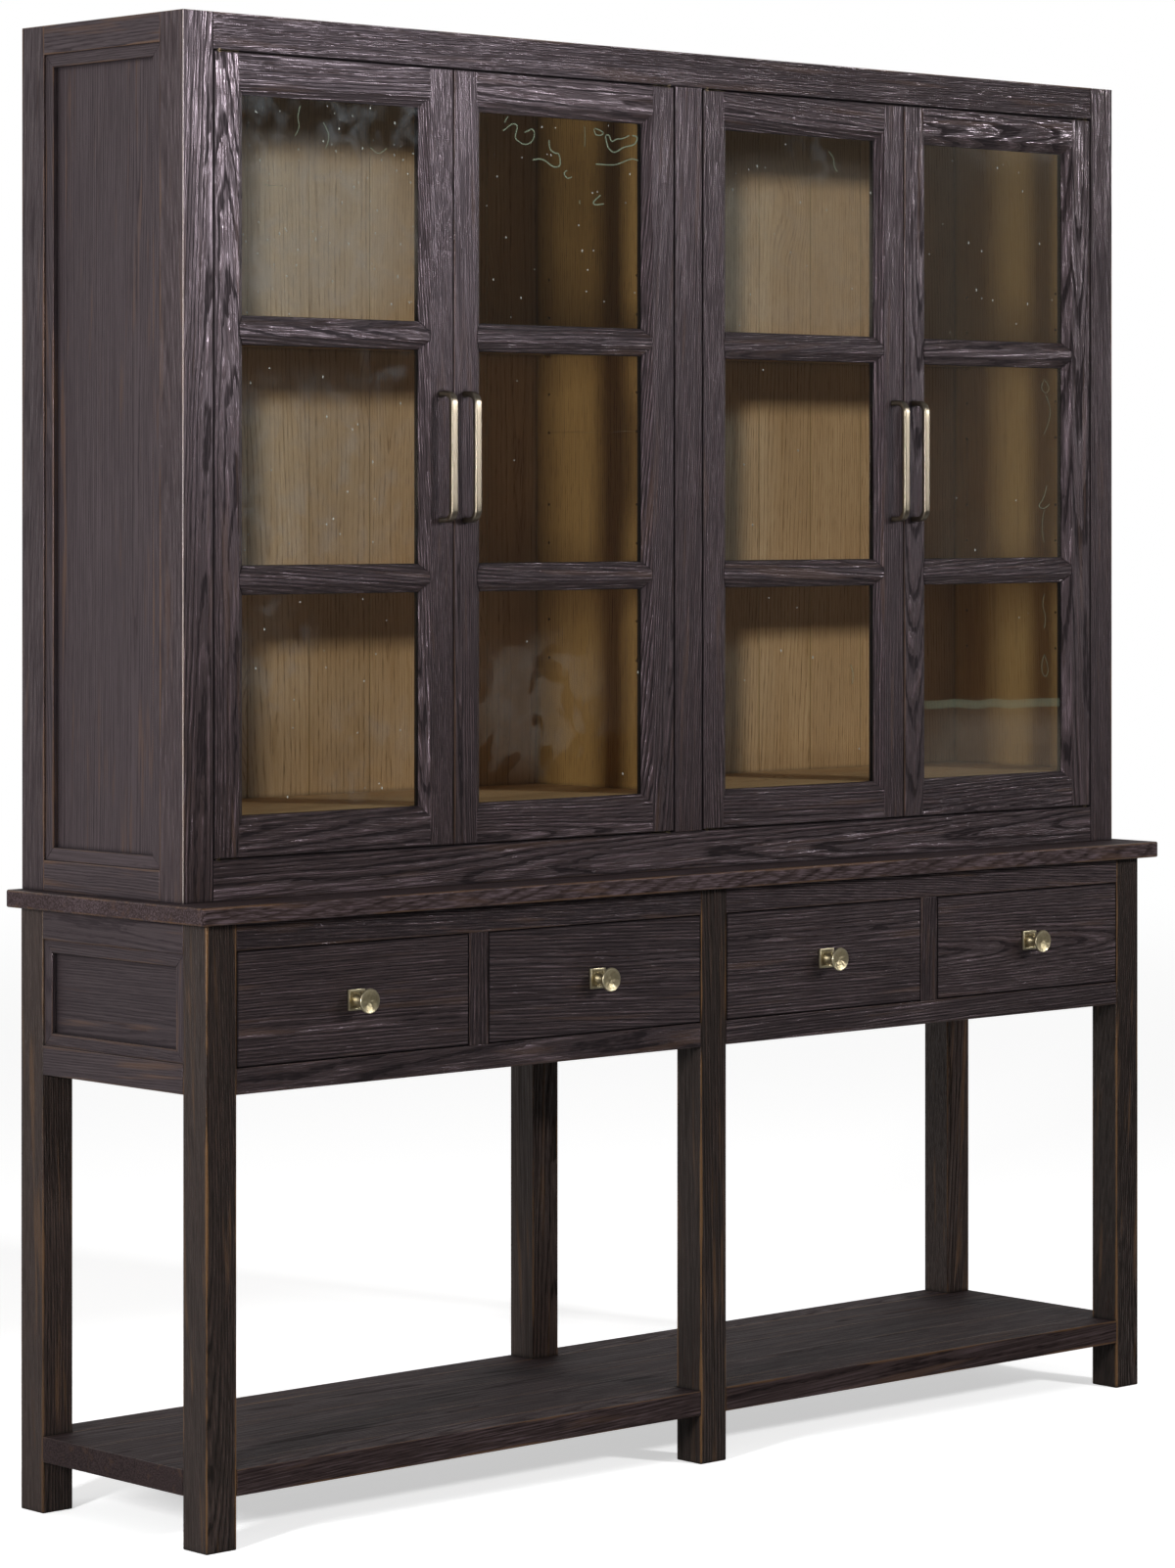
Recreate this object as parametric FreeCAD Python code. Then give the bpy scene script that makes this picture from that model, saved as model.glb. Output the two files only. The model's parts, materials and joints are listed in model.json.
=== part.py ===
import FreeCAD, Part
import os

# Dresser with a glazed hutch, in millimetres.
# The dresser base stands on six square legs and carries four drawers and a low open shelf.
# The hutch stands on the countertop, set back from its front edge, and has four glazed doors.
# +Z is up, the front faces -Y, +X is to the right of someone who stands in front.
# The origin is on the floor, below the middle of the whole piece.

# Overall form
overall_height = 2286.0
counter_length = 2134.0
counter_height = 957.0
counter_thickness = 27.0
counter_side_overhang = 27.0
counter_front_overhang = 25.0
counter_back_overhang = 4.0
counter_corner_radius = 6.0
counter_edge_radius = 3.0

# Rounding of the worn edges
leg_edge_radius = 2.2
frame_edge_radius = 1.0
board_edge_radius = 1.5

# Base frame
base_depth = 463.0
leg_size = 57.0
frame_thickness = 22.0
base_top_rail_height = 42.0
base_bottom_rail_height = 39.0
base_bottom_rail_depth = 45.0
drawer_opening_height = 174.5
divider_width = 39.0
base_side_top_rail_height = 47.0
base_side_bottom_rail_height = 45.0
base_back_rail_height = 60.0
base_back_panel_thickness = 9.0
base_partition_thickness = 18.0

# Recessed side panels, the same on the base and on the hutch
moulding_width = 20.0
moulding_setback = 3.0
panel_setback = 12.0

# Low open shelf
lower_shelf_top = 118.5
lower_shelf_thickness = 39.0
lower_shelf_board_count = 3

# Drawers
drawer_gap = 2.0
drawer_front_thickness = 22.0
drawer_side_thickness = 12.0
drawer_back_thickness = 12.0
drawer_bottom_thickness = 6.0
drawer_bottom_lift = 10.0
drawer_box_height = 150.0
drawer_box_side_gap = 3.0
drawer_box_back_gap = 30.0
drawer_back_drop = 5.0
drawer_running_gap = 0.3
runner_height = 20.0
runner_reach = 21.0
kicker_height = 20.0
guide_height = 25.0
stop_length = 30.0
stop_height = 6.0
stop_depth = 12.0
stop_from_edge = 60.0

# Drawer knobs
rose_size = 32.0
rose_thickness = 4.0
rose_rim_width = 4.0
rose_dish_depth = 1.5
knob_radius = 19.0
knob_projection = 35.0
knob_rim_width = 2.5
knob_rim_thickness = 5.0
knob_dish_depth = 3.5
knob_foot_radius = 9.0
knob_neck_radius = 6.0
knob_bolt_radius = 2.4
knob_bolt_depth = 14.0
bolt_hole_clearance = 0.1
bolt_head_radius = 5.0
bolt_head_thickness = 2.5

# Hutch case
hutch_side_setback = 2.0
hutch_front_setback = 59.0
hutch_stile_width = 57.0
hutch_top_rail_height = 56.0
hutch_bottom_rail_height = 62.0
hutch_mullion_width = 62.0
hutch_side_top_rail_height = 45.0
hutch_side_bottom_rail_height = 47.0
hutch_back_rail_height = 60.0
liner_thickness = 8.0
back_board_thickness = 12.0
back_batten_thickness = 18.0
back_board_count = 16
hutch_top_thickness = 20.0
hutch_floor_thickness = 20.0
hutch_partition_thickness = 30.0
floor_apron_thickness = 18.0
floor_bearer_thickness = 22.0

# Hutch shelves and their pins
shelf_thickness = 22.0
shelf_front_setback = 30.0
shelf_end_gap = 1.0
shelf_back_gap = 2.0
pin_radius = 2.5
pin_hole_depth = 8.0
pin_reach = 10.0
pin_fit = 0.05
pin_seat_gap = 0.1
pin_hole_spacing = 64.0
pin_holes_each_way = 2
pin_front_line = 107.0
pin_back_line = 30.0

# Hutch doors
door_gap = 2.0
door_thickness = 22.0
door_member_width = 62.0
door_bevel_width = 15.0
door_bevel_depth = 12.0
muntin_height = 45.0
light_count = 3
glass_thickness = 4.0
glass_edge_gap = 1.0
rebate_width = 10.0

# Straight pivot hinges at the top and bottom corners of each door
pivot_from_edge = 10.0
pivot_from_front = 5.0
leaf_thickness = 2.0
leaf_width = 9.0
leaf_length = 38.0
leaf_eye_radius = 5.5
hinge_pin_radius = 3.0
hinge_pin_fit = 0.05
hinge_pin_end_gap = 0.3
door_swing_room = 4.0

# Magnetic catches behind the doors' bottom rails
catch_radius = 6.0
catch_gap = 0.3
catch_from_edge = 30.0
strike_radius = 8.0
strike_thickness = 1.0

# Door pulls
pull_length = 205.0
pull_width = 12.5
pull_thickness = 8.5
pull_projection = 32.5
pull_corner_radius = 20.0
pull_edge_radius = 2.0
pull_screw_radius = 2.0
pull_screw_reach = 8.0
screw_hole_clearance = 0.1
screw_head_radius = 4.0
screw_head_thickness = 2.5

# Places that follow from the sizes above
base_width = counter_length - 2 * counter_side_overhang
half_base = base_width / 2
overall_depth = knob_projection + base_depth + counter_back_overhang
base_front = knob_projection - overall_depth / 2
base_back = base_front + base_depth
counter_underside = counter_height - counter_thickness
opening_top = counter_underside - base_top_rail_height
opening_bottom = opening_top - drawer_opening_height
case_bottom = opening_bottom - base_bottom_rail_height
base_rail_front = base_back - frame_thickness
back_panel_front = base_rail_front - base_back_panel_thickness
drawer_box_front = base_front + drawer_front_thickness
drawer_box_back = back_panel_front - drawer_box_back_gap

hutch_front = base_front + hutch_front_setback
hutch_back = base_back
hutch_width = base_width - 2 * hutch_side_setback
half_hutch = hutch_width / 2
wall_face = half_hutch - frame_thickness
liner_face = wall_face - liner_thickness
half_partition = hutch_partition_thickness / 2
rail_front = hutch_back - frame_thickness
boards_back = rail_front - back_batten_thickness
boards_front = boards_back - back_board_thickness
door_opening_bottom = counter_height + hutch_bottom_rail_height
door_opening_top = overall_height - hutch_top_rail_height
door_bottom = door_opening_bottom + door_gap
door_top = door_opening_top - door_gap
door_back = hutch_front + door_thickness
floor_front = door_back + door_swing_room
floor_top = door_bottom + door_member_width
floor_bottom = floor_top - hutch_floor_thickness
ceiling = overall_height - hutch_top_thickness

door_flat_width = door_member_width - door_bevel_width
glazed_height = door_top - door_bottom - 2 * door_member_width
light_height = (glazed_height - (light_count - 1) * muntin_height) / light_count
light_bottoms = [
    door_bottom + door_member_width + i * (light_height + muntin_height) for i in range(light_count)
]
shelf_middles = [bottom - muntin_height / 2 for bottom in light_bottoms[1:]]

os.makedirs("parts", exist_ok=True)


def save(name, solids):
    """Write one node; several solids in it stay separate."""
    shape = solids[0] if len(solids) == 1 else Part.makeCompound(solids)
    shape.exportStep("parts/" + name + ".step")


def box(x0, x1, y0, y1, z0, z1):
    return Part.makeBox(x1 - x0, y1 - y0, z1 - z0, FreeCAD.Vector(x0, y0, z0))


def eased(solid, radius):
    """Round every edge of a straight board."""
    return solid.makeFillet(radius, solid.Edges)


def board(x0, x1, y0, y1, z0, z1):
    return eased(box(x0, x1, y0, y1, z0, z1), frame_edge_radius)


def prism(points, sweep):
    """Extrude a flat outline along a vector."""
    corners = [FreeCAD.Vector(*point) for point in points]
    outline = Part.makePolygon(corners + [corners[0]])
    return Part.Face(outline).extrude(FreeCAD.Vector(*sweep))


def cylinder_y(x, z, y0, y1, radius):
    return Part.makeCylinder(radius, y1 - y0, FreeCAD.Vector(x, y0, z), FreeCAD.Vector(0, 1, 0))


def both_sides(solid):
    """The solid and its mirror image on the other side of the middle plane."""
    return [solid, solid.mirror(FreeCAD.Vector(0, 0, 0), FreeCAD.Vector(1, 0, 0))]


def mitred_frame(low, high, width, place, sweep):
    """Four strips with mitred corners, inside the rectangle from low to high.

    place turns a flat pair of coordinates into a point, and sweep is the strips' thickness.
    """
    a0, b0 = low
    a1, b1 = high
    outer = [(a0, b0), (a1, b0), (a1, b1), (a0, b1)]
    inner = [
        (a0 + width, b0 + width), (a1 - width, b0 + width),
        (a1 - width, b1 - width), (a0 + width, b1 - width),
    ]
    strips = []
    for i in range(4):
        j = (i + 1) % 4
        corners = [outer[i], outer[j], inner[j], inner[i]]
        strips.append(prism([place(*corner) for corner in corners], sweep))
    return strips


# Base: legs and countertop
leg_middles = [-half_base + leg_size / 2, 0.0, half_base - leg_size / 2]


def leg(middle, front):
    solid = box(middle - leg_size / 2, middle + leg_size / 2, front, front + leg_size, 0, counter_underside)
    return eased(solid, leg_edge_radius)


save("front_legs", [leg(middle, base_front) for middle in leg_middles])
save("back_legs", [leg(middle, base_back - leg_size) for middle in leg_middles])


def make_countertop():
    slab = box(
        -counter_length / 2, counter_length / 2,
        base_front - counter_front_overhang, base_back + counter_back_overhang,
        counter_underside, counter_height,
    )
    corners = [edge for edge in slab.Edges if abs(edge.Length - counter_thickness) < 0.001]
    slab = slab.makeFillet(counter_corner_radius, corners)
    rims = [edge for edge in slab.Edges if edge.BoundBox.ZLength < 0.001]
    return slab.makeFillet(counter_edge_radius, rims)


save("countertop", [make_countertop()])

# Base: front and back frame, two bays between the legs
bays = [(-half_base + leg_size, -leg_size / 2), (leg_size / 2, half_base - leg_size)]
front_rails = []
dividers = []
back_frame = []
for left, right in bays:
    front_rails.append(
        board(left, right, base_front, base_front + frame_thickness, opening_top, counter_underside)
    )
    front_rails.append(
        board(left, right, base_front, base_front + base_bottom_rail_depth, case_bottom, opening_bottom)
    )
    middle = (left + right) / 2
    dividers.append(
        board(middle - divider_width / 2, middle + divider_width / 2,
              base_front, base_front + frame_thickness, opening_bottom, opening_top)
    )
    back_frame.append(
        board(left, right, base_rail_front, base_back,
              counter_underside - base_back_rail_height, counter_underside)
    )
    back_frame.append(
        board(left, right, base_rail_front, base_back, case_bottom, case_bottom + base_back_rail_height)
    )
    back_frame.append(box(left, right, back_panel_front, base_rail_front, case_bottom, counter_underside))
save("base_front_rails", front_rails)
save("drawer_dividers", dividers)
save("base_back_frame", back_frame)

# Base: framed sides with a recessed panel inside a flat moulding


def framed_side(outer, y0, y1, z0, z1, bottom_rail, top_rail):
    """Rails, mouldings and panel of the left side, between two uprights."""
    rails = [
        board(-outer, -outer + frame_thickness, y0, y1, z0, z0 + bottom_rail),
        board(-outer, -outer + frame_thickness, y0, y1, z1 - top_rail, z1),
    ]
    moulding_face = -outer + moulding_setback
    mouldings = mitred_frame(
        (y0, z0 + bottom_rail), (y1, z1 - top_rail), moulding_width,
        lambda y, z: (moulding_face, y, z), (panel_setback - moulding_setback, 0, 0),
    )
    panel = box(-outer + panel_setback, -outer + frame_thickness, y0, y1, z0 + bottom_rail, z1 - top_rail)
    return rails, mouldings, [panel]


def save_sides(prefix, parts):
    names = ("_side_rails", "_side_mouldings", "_side_panels")
    for name, solids in zip(names, parts):
        save(prefix + name, [half for solid in solids for half in both_sides(solid)])


save_sides("base", framed_side(
    half_base, base_front + leg_size, base_back - leg_size, case_bottom, counter_underside,
    base_side_bottom_rail_height, base_side_top_rail_height,
))

# Base: partitions behind the dividers and the middle legs
half_base_partition = base_partition_thickness / 2
bay_middles = [(left + right) / 2 for left, right in bays]
partitions = [
    box(middle - half_base_partition, middle + half_base_partition,
        base_front + base_bottom_rail_depth, back_panel_front, case_bottom, counter_underside)
    for middle in bay_middles
]
partitions.append(
    box(-half_base_partition, half_base_partition,
        base_front + leg_size, base_back - leg_size, case_bottom, counter_underside)
)
save("base_partitions", partitions)

# Base: the openings of the four drawers, with the inner face of the wall on each side
openings = []
for (left, right), middle in zip(bays, bay_middles):
    openings.append((left, middle - divider_width / 2, left, middle - half_base_partition))
    openings.append((middle + divider_width / 2, right, middle + half_base_partition, right))

runners = []
kickers = []
guides_and_stops = []
runner_front = base_front + base_bottom_rail_depth
kicker_front = base_front + frame_thickness
for left, right, left_wall, right_wall in openings:
    for x0, x1 in ((left_wall, left + runner_reach), (right - runner_reach, right_wall)):
        runners.append(
            box(x0, x1, runner_front, back_panel_front, opening_bottom - runner_height, opening_bottom)
        )
        kickers.append(
            box(x0, x1, kicker_front if abs(x0 - left) < 0.001 or abs(x1 - right) < 0.001 else runner_front,
                back_panel_front, opening_top, opening_top + kicker_height)
        )
    for x0, x1 in ((left_wall, left), (right, right_wall)):
        if x1 - x0 > 0.001:
            guides_and_stops.append(
                box(x0, x1, runner_front, back_panel_front, opening_bottom, opening_bottom + guide_height)
            )
    stop_front = base_front + drawer_front_thickness + drawer_running_gap
    for x0 in (left + stop_from_edge, right - stop_from_edge - stop_length):
        guides_and_stops.append(
            box(x0, x0 + stop_length, stop_front, stop_front + stop_depth,
                opening_bottom, opening_bottom + stop_height)
        )
save("drawer_runners", runners)
save("drawer_kickers", kickers)
save("drawer_guides_and_stops", guides_and_stops)

# Low shelf: rails between the legs, and full-length boards between the two rows of legs
shelf_underside = lower_shelf_top - lower_shelf_thickness
shelf_rails = []
for left, right in bays:
    for front in (base_front, base_back - leg_size):
        shelf_rails.append(board(left, right, front, front + leg_size, shelf_underside, lower_shelf_top))
save("lower_shelf_rails", shelf_rails)

board_width = (base_depth - 2 * leg_size) / lower_shelf_board_count
shelf_boards = []
for i in range(lower_shelf_board_count):
    front = base_front + leg_size + i * board_width
    shelf_boards.append(
        board(-half_base, half_base, front, front + board_width, shelf_underside, lower_shelf_top)
    )
save("lower_shelf_boards", shelf_boards)

# Drawers


def drawer_box(left, right):
    x0 = left + drawer_box_side_gap
    x1 = right - drawer_box_side_gap
    front = drawer_box_front
    back = drawer_box_back
    bottom = opening_bottom + drawer_running_gap
    top = bottom + drawer_box_height
    floor = bottom + drawer_bottom_lift
    inner_left = x0 + drawer_side_thickness
    inner_right = x1 - drawer_side_thickness
    return [
        board(x0, inner_left, front, back, bottom, top),
        board(inner_right, x1, front, back, bottom, top),
        board(inner_left, inner_right, back - drawer_back_thickness, back,
              floor + drawer_bottom_thickness, top - drawer_back_drop),
        box(inner_left, inner_right, front, back, floor, floor + drawer_bottom_thickness),
    ]


def knob_bolt(x, z, radius, head_radius):
    """Bolt from behind the drawer front into the knob's neck."""
    back = base_front + drawer_front_thickness
    shank = cylinder_y(x, z, base_front - rose_thickness - knob_bolt_depth, back, radius)
    head = cylinder_y(x, z, back, back + bolt_head_thickness, head_radius)
    return shank.fuse(head).removeSplitter()


def knob_body(x, z):
    """Turned knob: a hollow-faced disc on a waisted neck."""
    foot = rose_thickness
    rim_back = knob_projection - knob_rim_thickness
    neck_middle = (foot + rim_back) / 2

    def at(radius, out):
        return FreeCAD.Vector(x + radius, base_front - out, z)

    # The hollow face is a shallow dish, part of a sphere whose middle is on the knob's axis
    hollow_radius = knob_radius - knob_rim_width
    dish_radius = (hollow_radius ** 2 + knob_dish_depth ** 2) / (2 * knob_dish_depth)
    dish_middle = knob_projection - knob_dish_depth + dish_radius
    half_way = dish_middle - (dish_radius ** 2 - (hollow_radius / 2) ** 2) ** 0.5
    profile = [
        Part.LineSegment(at(0, foot), at(knob_foot_radius, foot)),
        Part.Arc(at(knob_foot_radius, foot), at(knob_neck_radius, neck_middle - knob_rim_thickness / 2),
                 at(knob_foot_radius, rim_back - knob_rim_thickness)),
        Part.LineSegment(at(knob_foot_radius, rim_back - knob_rim_thickness), at(knob_radius, rim_back)),
        Part.LineSegment(at(knob_radius, rim_back), at(knob_radius, knob_projection - 1)),
        Part.LineSegment(at(knob_radius, knob_projection - 1), at(knob_radius - 1, knob_projection)),
        Part.LineSegment(at(knob_radius - 1, knob_projection), at(hollow_radius, knob_projection)),
        Part.Arc(at(hollow_radius, knob_projection), at(hollow_radius / 2, half_way),
                 at(0, knob_projection - knob_dish_depth)),
        Part.LineSegment(at(0, knob_projection - knob_dish_depth), at(0, foot)),
    ]
    face = Part.Face(Part.Wire([curve.toShape() for curve in profile]))
    return face.revolve(FreeCAD.Vector(x, 0, z), FreeCAD.Vector(0, 1, 0), 360)


def knob_rose(x, z):
    """Square back plate with a raised rim."""
    half = rose_size / 2
    inner = half - rose_rim_width
    plate = box(x - half, x + half, base_front - rose_thickness, base_front, z - half, z + half)
    face = base_front - rose_thickness
    tray = box(x - inner, x + inner, face, face + rose_dish_depth, z - inner, z + inner)
    foot = cylinder_y(x, z, face, base_front, knob_foot_radius)
    return plate.cut(tray).fuse(foot).removeSplitter()


for number, (left, right, left_wall, right_wall) in enumerate(openings, 1):
    middle_x = (left + right) / 2
    middle_z = (opening_bottom + opening_top) / 2
    hole_radius = knob_bolt_radius + bolt_hole_clearance
    bolt_hole = cylinder_y(
        middle_x, middle_z, base_front - rose_thickness, base_front + drawer_front_thickness, hole_radius
    )
    front = board(
        left + drawer_gap, right - drawer_gap, base_front, base_front + drawer_front_thickness,
        opening_bottom + drawer_gap, opening_top - drawer_gap,
    )
    bolt = knob_bolt(middle_x, middle_z, knob_bolt_radius, bolt_head_radius)
    name = "drawer_%d" % number
    save(name + "_front", [front.cut(bolt_hole)])
    save(name + "_box", drawer_box(left, right))
    save(name + "_knob", [
        knob_body(middle_x, middle_z).cut(bolt),
        knob_rose(middle_x, middle_z).cut(bolt_hole),
        bolt,
    ])

# Hutch case: corner posts with an L-shaped section, glued up from two boards' thickness


def corner_post(face, inward):
    """Left post; face is its outer Y and inward the direction into the case."""
    side = -half_hutch
    points = [
        (side, face), (side + hutch_stile_width, face),
        (side + hutch_stile_width, face + inward * frame_thickness),
        (side + frame_thickness, face + inward * frame_thickness),
        (side + frame_thickness, face + inward * hutch_stile_width),
        (side, face + inward * hutch_stile_width),
    ]
    post = prism([(x, y, counter_height) for x, y in points], (0, 0, overall_height - counter_height))
    inner_corner = (side + frame_thickness, face + inward * frame_thickness)

    def is_inner(edge):
        middle = edge.BoundBox.Center
        return abs(middle.x - inner_corner[0]) < 0.001 and abs(middle.y - inner_corner[1]) < 0.001

    return post.makeFillet(frame_edge_radius, [edge for edge in post.Edges if not is_inner(edge)])


save("hutch_front_posts", both_sides(corner_post(hutch_front, 1)))
save("hutch_back_posts", both_sides(corner_post(hutch_back, -1)))

# Hutch case: pivot hinges, whose case leaves are let into the two front rails


def hinge_leaf(pivot_x, into_door, z0):
    """Flat leaf: a round eye at the pivot and a straight arm that points along the door."""
    pivot_y = hutch_front + pivot_from_front
    eye = Part.makeCylinder(leaf_eye_radius, leaf_thickness, FreeCAD.Vector(pivot_x, pivot_y, z0))
    ends = sorted((pivot_x, pivot_x + into_door * leaf_length))
    arm = box(ends[0], ends[1], pivot_y - leaf_width / 2, pivot_y + leaf_width / 2, z0, z0 + leaf_thickness)
    return eye.fuse(arm).removeSplitter()


half_mullion = hutch_mullion_width / 2
door_opening_left = -half_hutch + hutch_stile_width
door_width = (-half_mullion - door_opening_left - 3 * door_gap) / 2
outer_door_left = door_opening_left + door_gap
inner_door_left = outer_door_left + door_width + door_gap
# Each door: its left edge, and the side that it is hinged on
doors = [
    (outer_door_left, -1),
    (inner_door_left, 1),
    (-inner_door_left - door_width, -1),
    (-outer_door_left - door_width, 1),
]


def door_pivot(left, hinge_side):
    """The pivot's X, and the direction from it into the door."""
    if hinge_side < 0:
        return left + pivot_from_edge, 1
    return left + door_width - pivot_from_edge, -1


case_leaves = []
leaf_pins = []
for left, hinge_side in doors:
    pivot_x, into_door = door_pivot(left, hinge_side)
    pivot_y = hutch_front + pivot_from_front
    pin_length = door_gap + leaf_thickness - hinge_pin_end_gap
    case_leaves.append(hinge_leaf(pivot_x, into_door, door_opening_top))
    leaf_pins.append(
        Part.makeCylinder(hinge_pin_radius, pin_length,
                          FreeCAD.Vector(pivot_x, pivot_y, door_opening_top - pin_length))
    )
    case_leaves.append(hinge_leaf(pivot_x, into_door, door_opening_bottom - leaf_thickness))
    leaf_pins.append(
        Part.makeCylinder(hinge_pin_radius, pin_length, FreeCAD.Vector(pivot_x, pivot_y, door_opening_bottom))
    )
save("hinge_case_leaves", [
    leaf.fuse(pin).removeSplitter() for leaf, pin in zip(case_leaves, leaf_pins)
])

# Hutch case: front rails and mullion
front_back = hutch_front + frame_thickness
front_frame = []
for z0, z1 in ((door_opening_top, overall_height), (counter_height, door_opening_bottom)):
    rail = board(door_opening_left, -door_opening_left, hutch_front, front_back, z0, z1)
    front_frame.append(rail.cut(case_leaves))
front_frame.append(
    board(-half_mullion, half_mullion, hutch_front, front_back, door_opening_bottom, door_opening_top)
)
save("hutch_front_frame", front_frame)

save_sides("hutch", framed_side(
    half_hutch, hutch_front + hutch_stile_width, hutch_back - hutch_stile_width,
    counter_height, overall_height,
    hutch_side_bottom_rail_height, hutch_side_top_rail_height,
))

# Hutch case: shelf pins and the rows of holes that they fit
shelf_undersides = [middle - shelf_thickness / 2 for middle in shelf_middles]
pin_heights = [underside - pin_radius - pin_seat_gap for underside in shelf_undersides]
pin_lines = [hutch_front + pin_front_line, boards_front - pin_back_line]


def pin_along_x(start, direction, length, y, z, radius):
    return Part.makeCylinder(radius, length, FreeCAD.Vector(start, y, z), FreeCAD.Vector(direction, 0, 0))


def pin_holes(face, into_wall):
    """Rows of holes in the wall face at X = face."""
    holes = []
    for height in pin_heights:
        for step in range(-pin_holes_each_way, pin_holes_each_way + 1):
            for y in pin_lines:
                holes.append(pin_along_x(face, into_wall, pin_hole_depth, y, height + step * pin_hole_spacing,
                                         pin_radius + pin_fit))
    return holes


liner = box(-wall_face, -liner_face, front_back, boards_front, counter_height, ceiling)
liner = liner.cut(pin_holes(-liner_face, -1))
save("hutch_side_liners", both_sides(liner))

partition = box(-half_partition, half_partition, front_back, boards_front, counter_height, ceiling)
partition = partition.cut(pin_holes(-half_partition, 1) + pin_holes(half_partition, -1))
save("hutch_partition", [partition])

shelves = []
pins = []
for underside, height in zip(shelf_undersides, pin_heights):
    shelf = board(
        -liner_face + shelf_end_gap, -half_partition - shelf_end_gap,
        hutch_front + shelf_front_setback, boards_front - shelf_back_gap,
        underside, underside + shelf_thickness,
    )
    shelves += both_sides(shelf)
    for y in pin_lines:
        for face, direction in ((-liner_face, 1), (-half_partition, -1)):
            pin = pin_along_x(face - direction * pin_hole_depth, direction, pin_hole_depth + pin_reach,
                              y, height, pin_radius)
            pins += both_sides(pin)
save("hutch_shelves", shelves)
save("shelf_pins", pins)

# Hutch case: top, back boards and back rails
save("hutch_top_panel", [board(-wall_face, wall_face, front_back, rail_front, ceiling, overall_height)])

back_board_width = 2 * wall_face / back_board_count
back_boards = []
for i in range(back_board_count):
    left = -wall_face + i * back_board_width
    back_boards.append(
        eased(box(left, left + back_board_width, boards_front, boards_back, counter_height, ceiling),
              board_edge_radius)
    )
save("hutch_back_boards", back_boards)

# Each back rail carries the boards on a batten that fills the room between them
back_rails = []
for rail_bottom in (
    counter_height,
    (counter_height + overall_height - hutch_back_rail_height) / 2,
    overall_height - hutch_back_rail_height,
):
    rail_top = rail_bottom + hutch_back_rail_height
    back_rails.append(
        board(door_opening_left, -door_opening_left, rail_front, hutch_back, rail_bottom, rail_top)
    )
    batten_top = min(rail_top, ceiling)
    back_rails.append(box(-wall_face, wall_face, boards_back, rail_front, rail_bottom, batten_top))
save("hutch_back_rails", back_rails)

# Hutch case: raised floor, closed in front by an apron and carried on bearers
floor_parts = []
for part in (
    board(-liner_face, -half_partition, floor_front, boards_front, floor_bottom, floor_top),
    box(-liner_face, -half_partition, floor_front, floor_front + floor_apron_thickness,
        counter_height, floor_bottom),
    box(-liner_face, -liner_face + floor_bearer_thickness, floor_front + floor_apron_thickness, boards_front,
        counter_height, floor_bottom),
    box(-half_partition - floor_bearer_thickness, -half_partition, floor_front + floor_apron_thickness,
        boards_front, counter_height, floor_bottom),
):
    floor_parts += both_sides(part)
save("hutch_floor", floor_parts)

# Doors: stiles, rails and muntins with a bevelled inner edge, mitred where the bevels meet


def light_cut(x0, x1, z0, z1):
    """The room that one pane takes: the bevelled front, and the rebate behind."""
    def rectangle(grow, y):
        corners = [
            (x0 - grow, z0 - grow), (x1 + grow, z0 - grow),
            (x1 + grow, z1 + grow), (x0 - grow, z1 + grow),
        ]
        points = [FreeCAD.Vector(x, y, z) for x, z in corners]
        return Part.makePolygon(points + [points[0]])

    seat = hutch_front + door_bevel_depth
    bevel = Part.makeLoft([rectangle(door_bevel_width, hutch_front), rectangle(0, seat)], True, True)
    rebate = box(x0 - rebate_width, x1 + rebate_width, seat, door_back, z0 - rebate_width, z1 + rebate_width)
    return [bevel, rebate]


def stile(edge, inward):
    """Door stile; its outline steps in where the rails and muntins meet it."""
    flat = edge + inward * door_flat_width
    sight = edge + inward * door_member_width
    outline = [(edge, door_bottom), (flat, door_bottom)]
    for bottom in light_bottoms:
        top = bottom + light_height
        outline += [
            (flat, bottom - door_bevel_width), (sight, bottom), (sight, top), (flat, top + door_bevel_width),
        ]
    outline += [(flat, door_top), (edge, door_top)]
    return outline


def cross_member(left, right, z0, z1, bevel_below, bevel_above):
    """Rail or muntin between the stiles, bevelled below, above or both."""
    flat_left = left + door_flat_width
    flat_right = right - door_flat_width
    sight_left = left + door_member_width
    sight_right = right - door_member_width
    outline = []
    if bevel_below:
        outline += [(flat_left, z0 + door_bevel_width), (sight_left, z0),
                    (sight_right, z0), (flat_right, z0 + door_bevel_width)]
    else:
        outline += [(flat_left, z0), (flat_right, z0)]
    if bevel_above:
        outline += [(flat_right, z1 - door_bevel_width), (sight_right, z1),
                    (sight_left, z1), (flat_left, z1 - door_bevel_width)]
    else:
        outline += [(flat_right, z1), (flat_left, z1)]
    return outline


def outer_front_edges(solid, left, right):
    """The member's front edges on the door's outline."""
    found = []
    for edge in solid.Edges:
        size = edge.BoundBox
        on_front = abs(size.YMin - hutch_front) < 0.001 and size.YLength < 0.001
        on_side = size.XLength < 0.001 and min(abs(size.XMin - left), abs(size.XMin - right)) < 0.001
        on_end = size.ZLength < 0.001 and min(abs(size.ZMin - door_bottom), abs(size.ZMin - door_top)) < 0.001
        if on_front and (on_side or on_end):
            found.append(edge)
    return found


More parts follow.
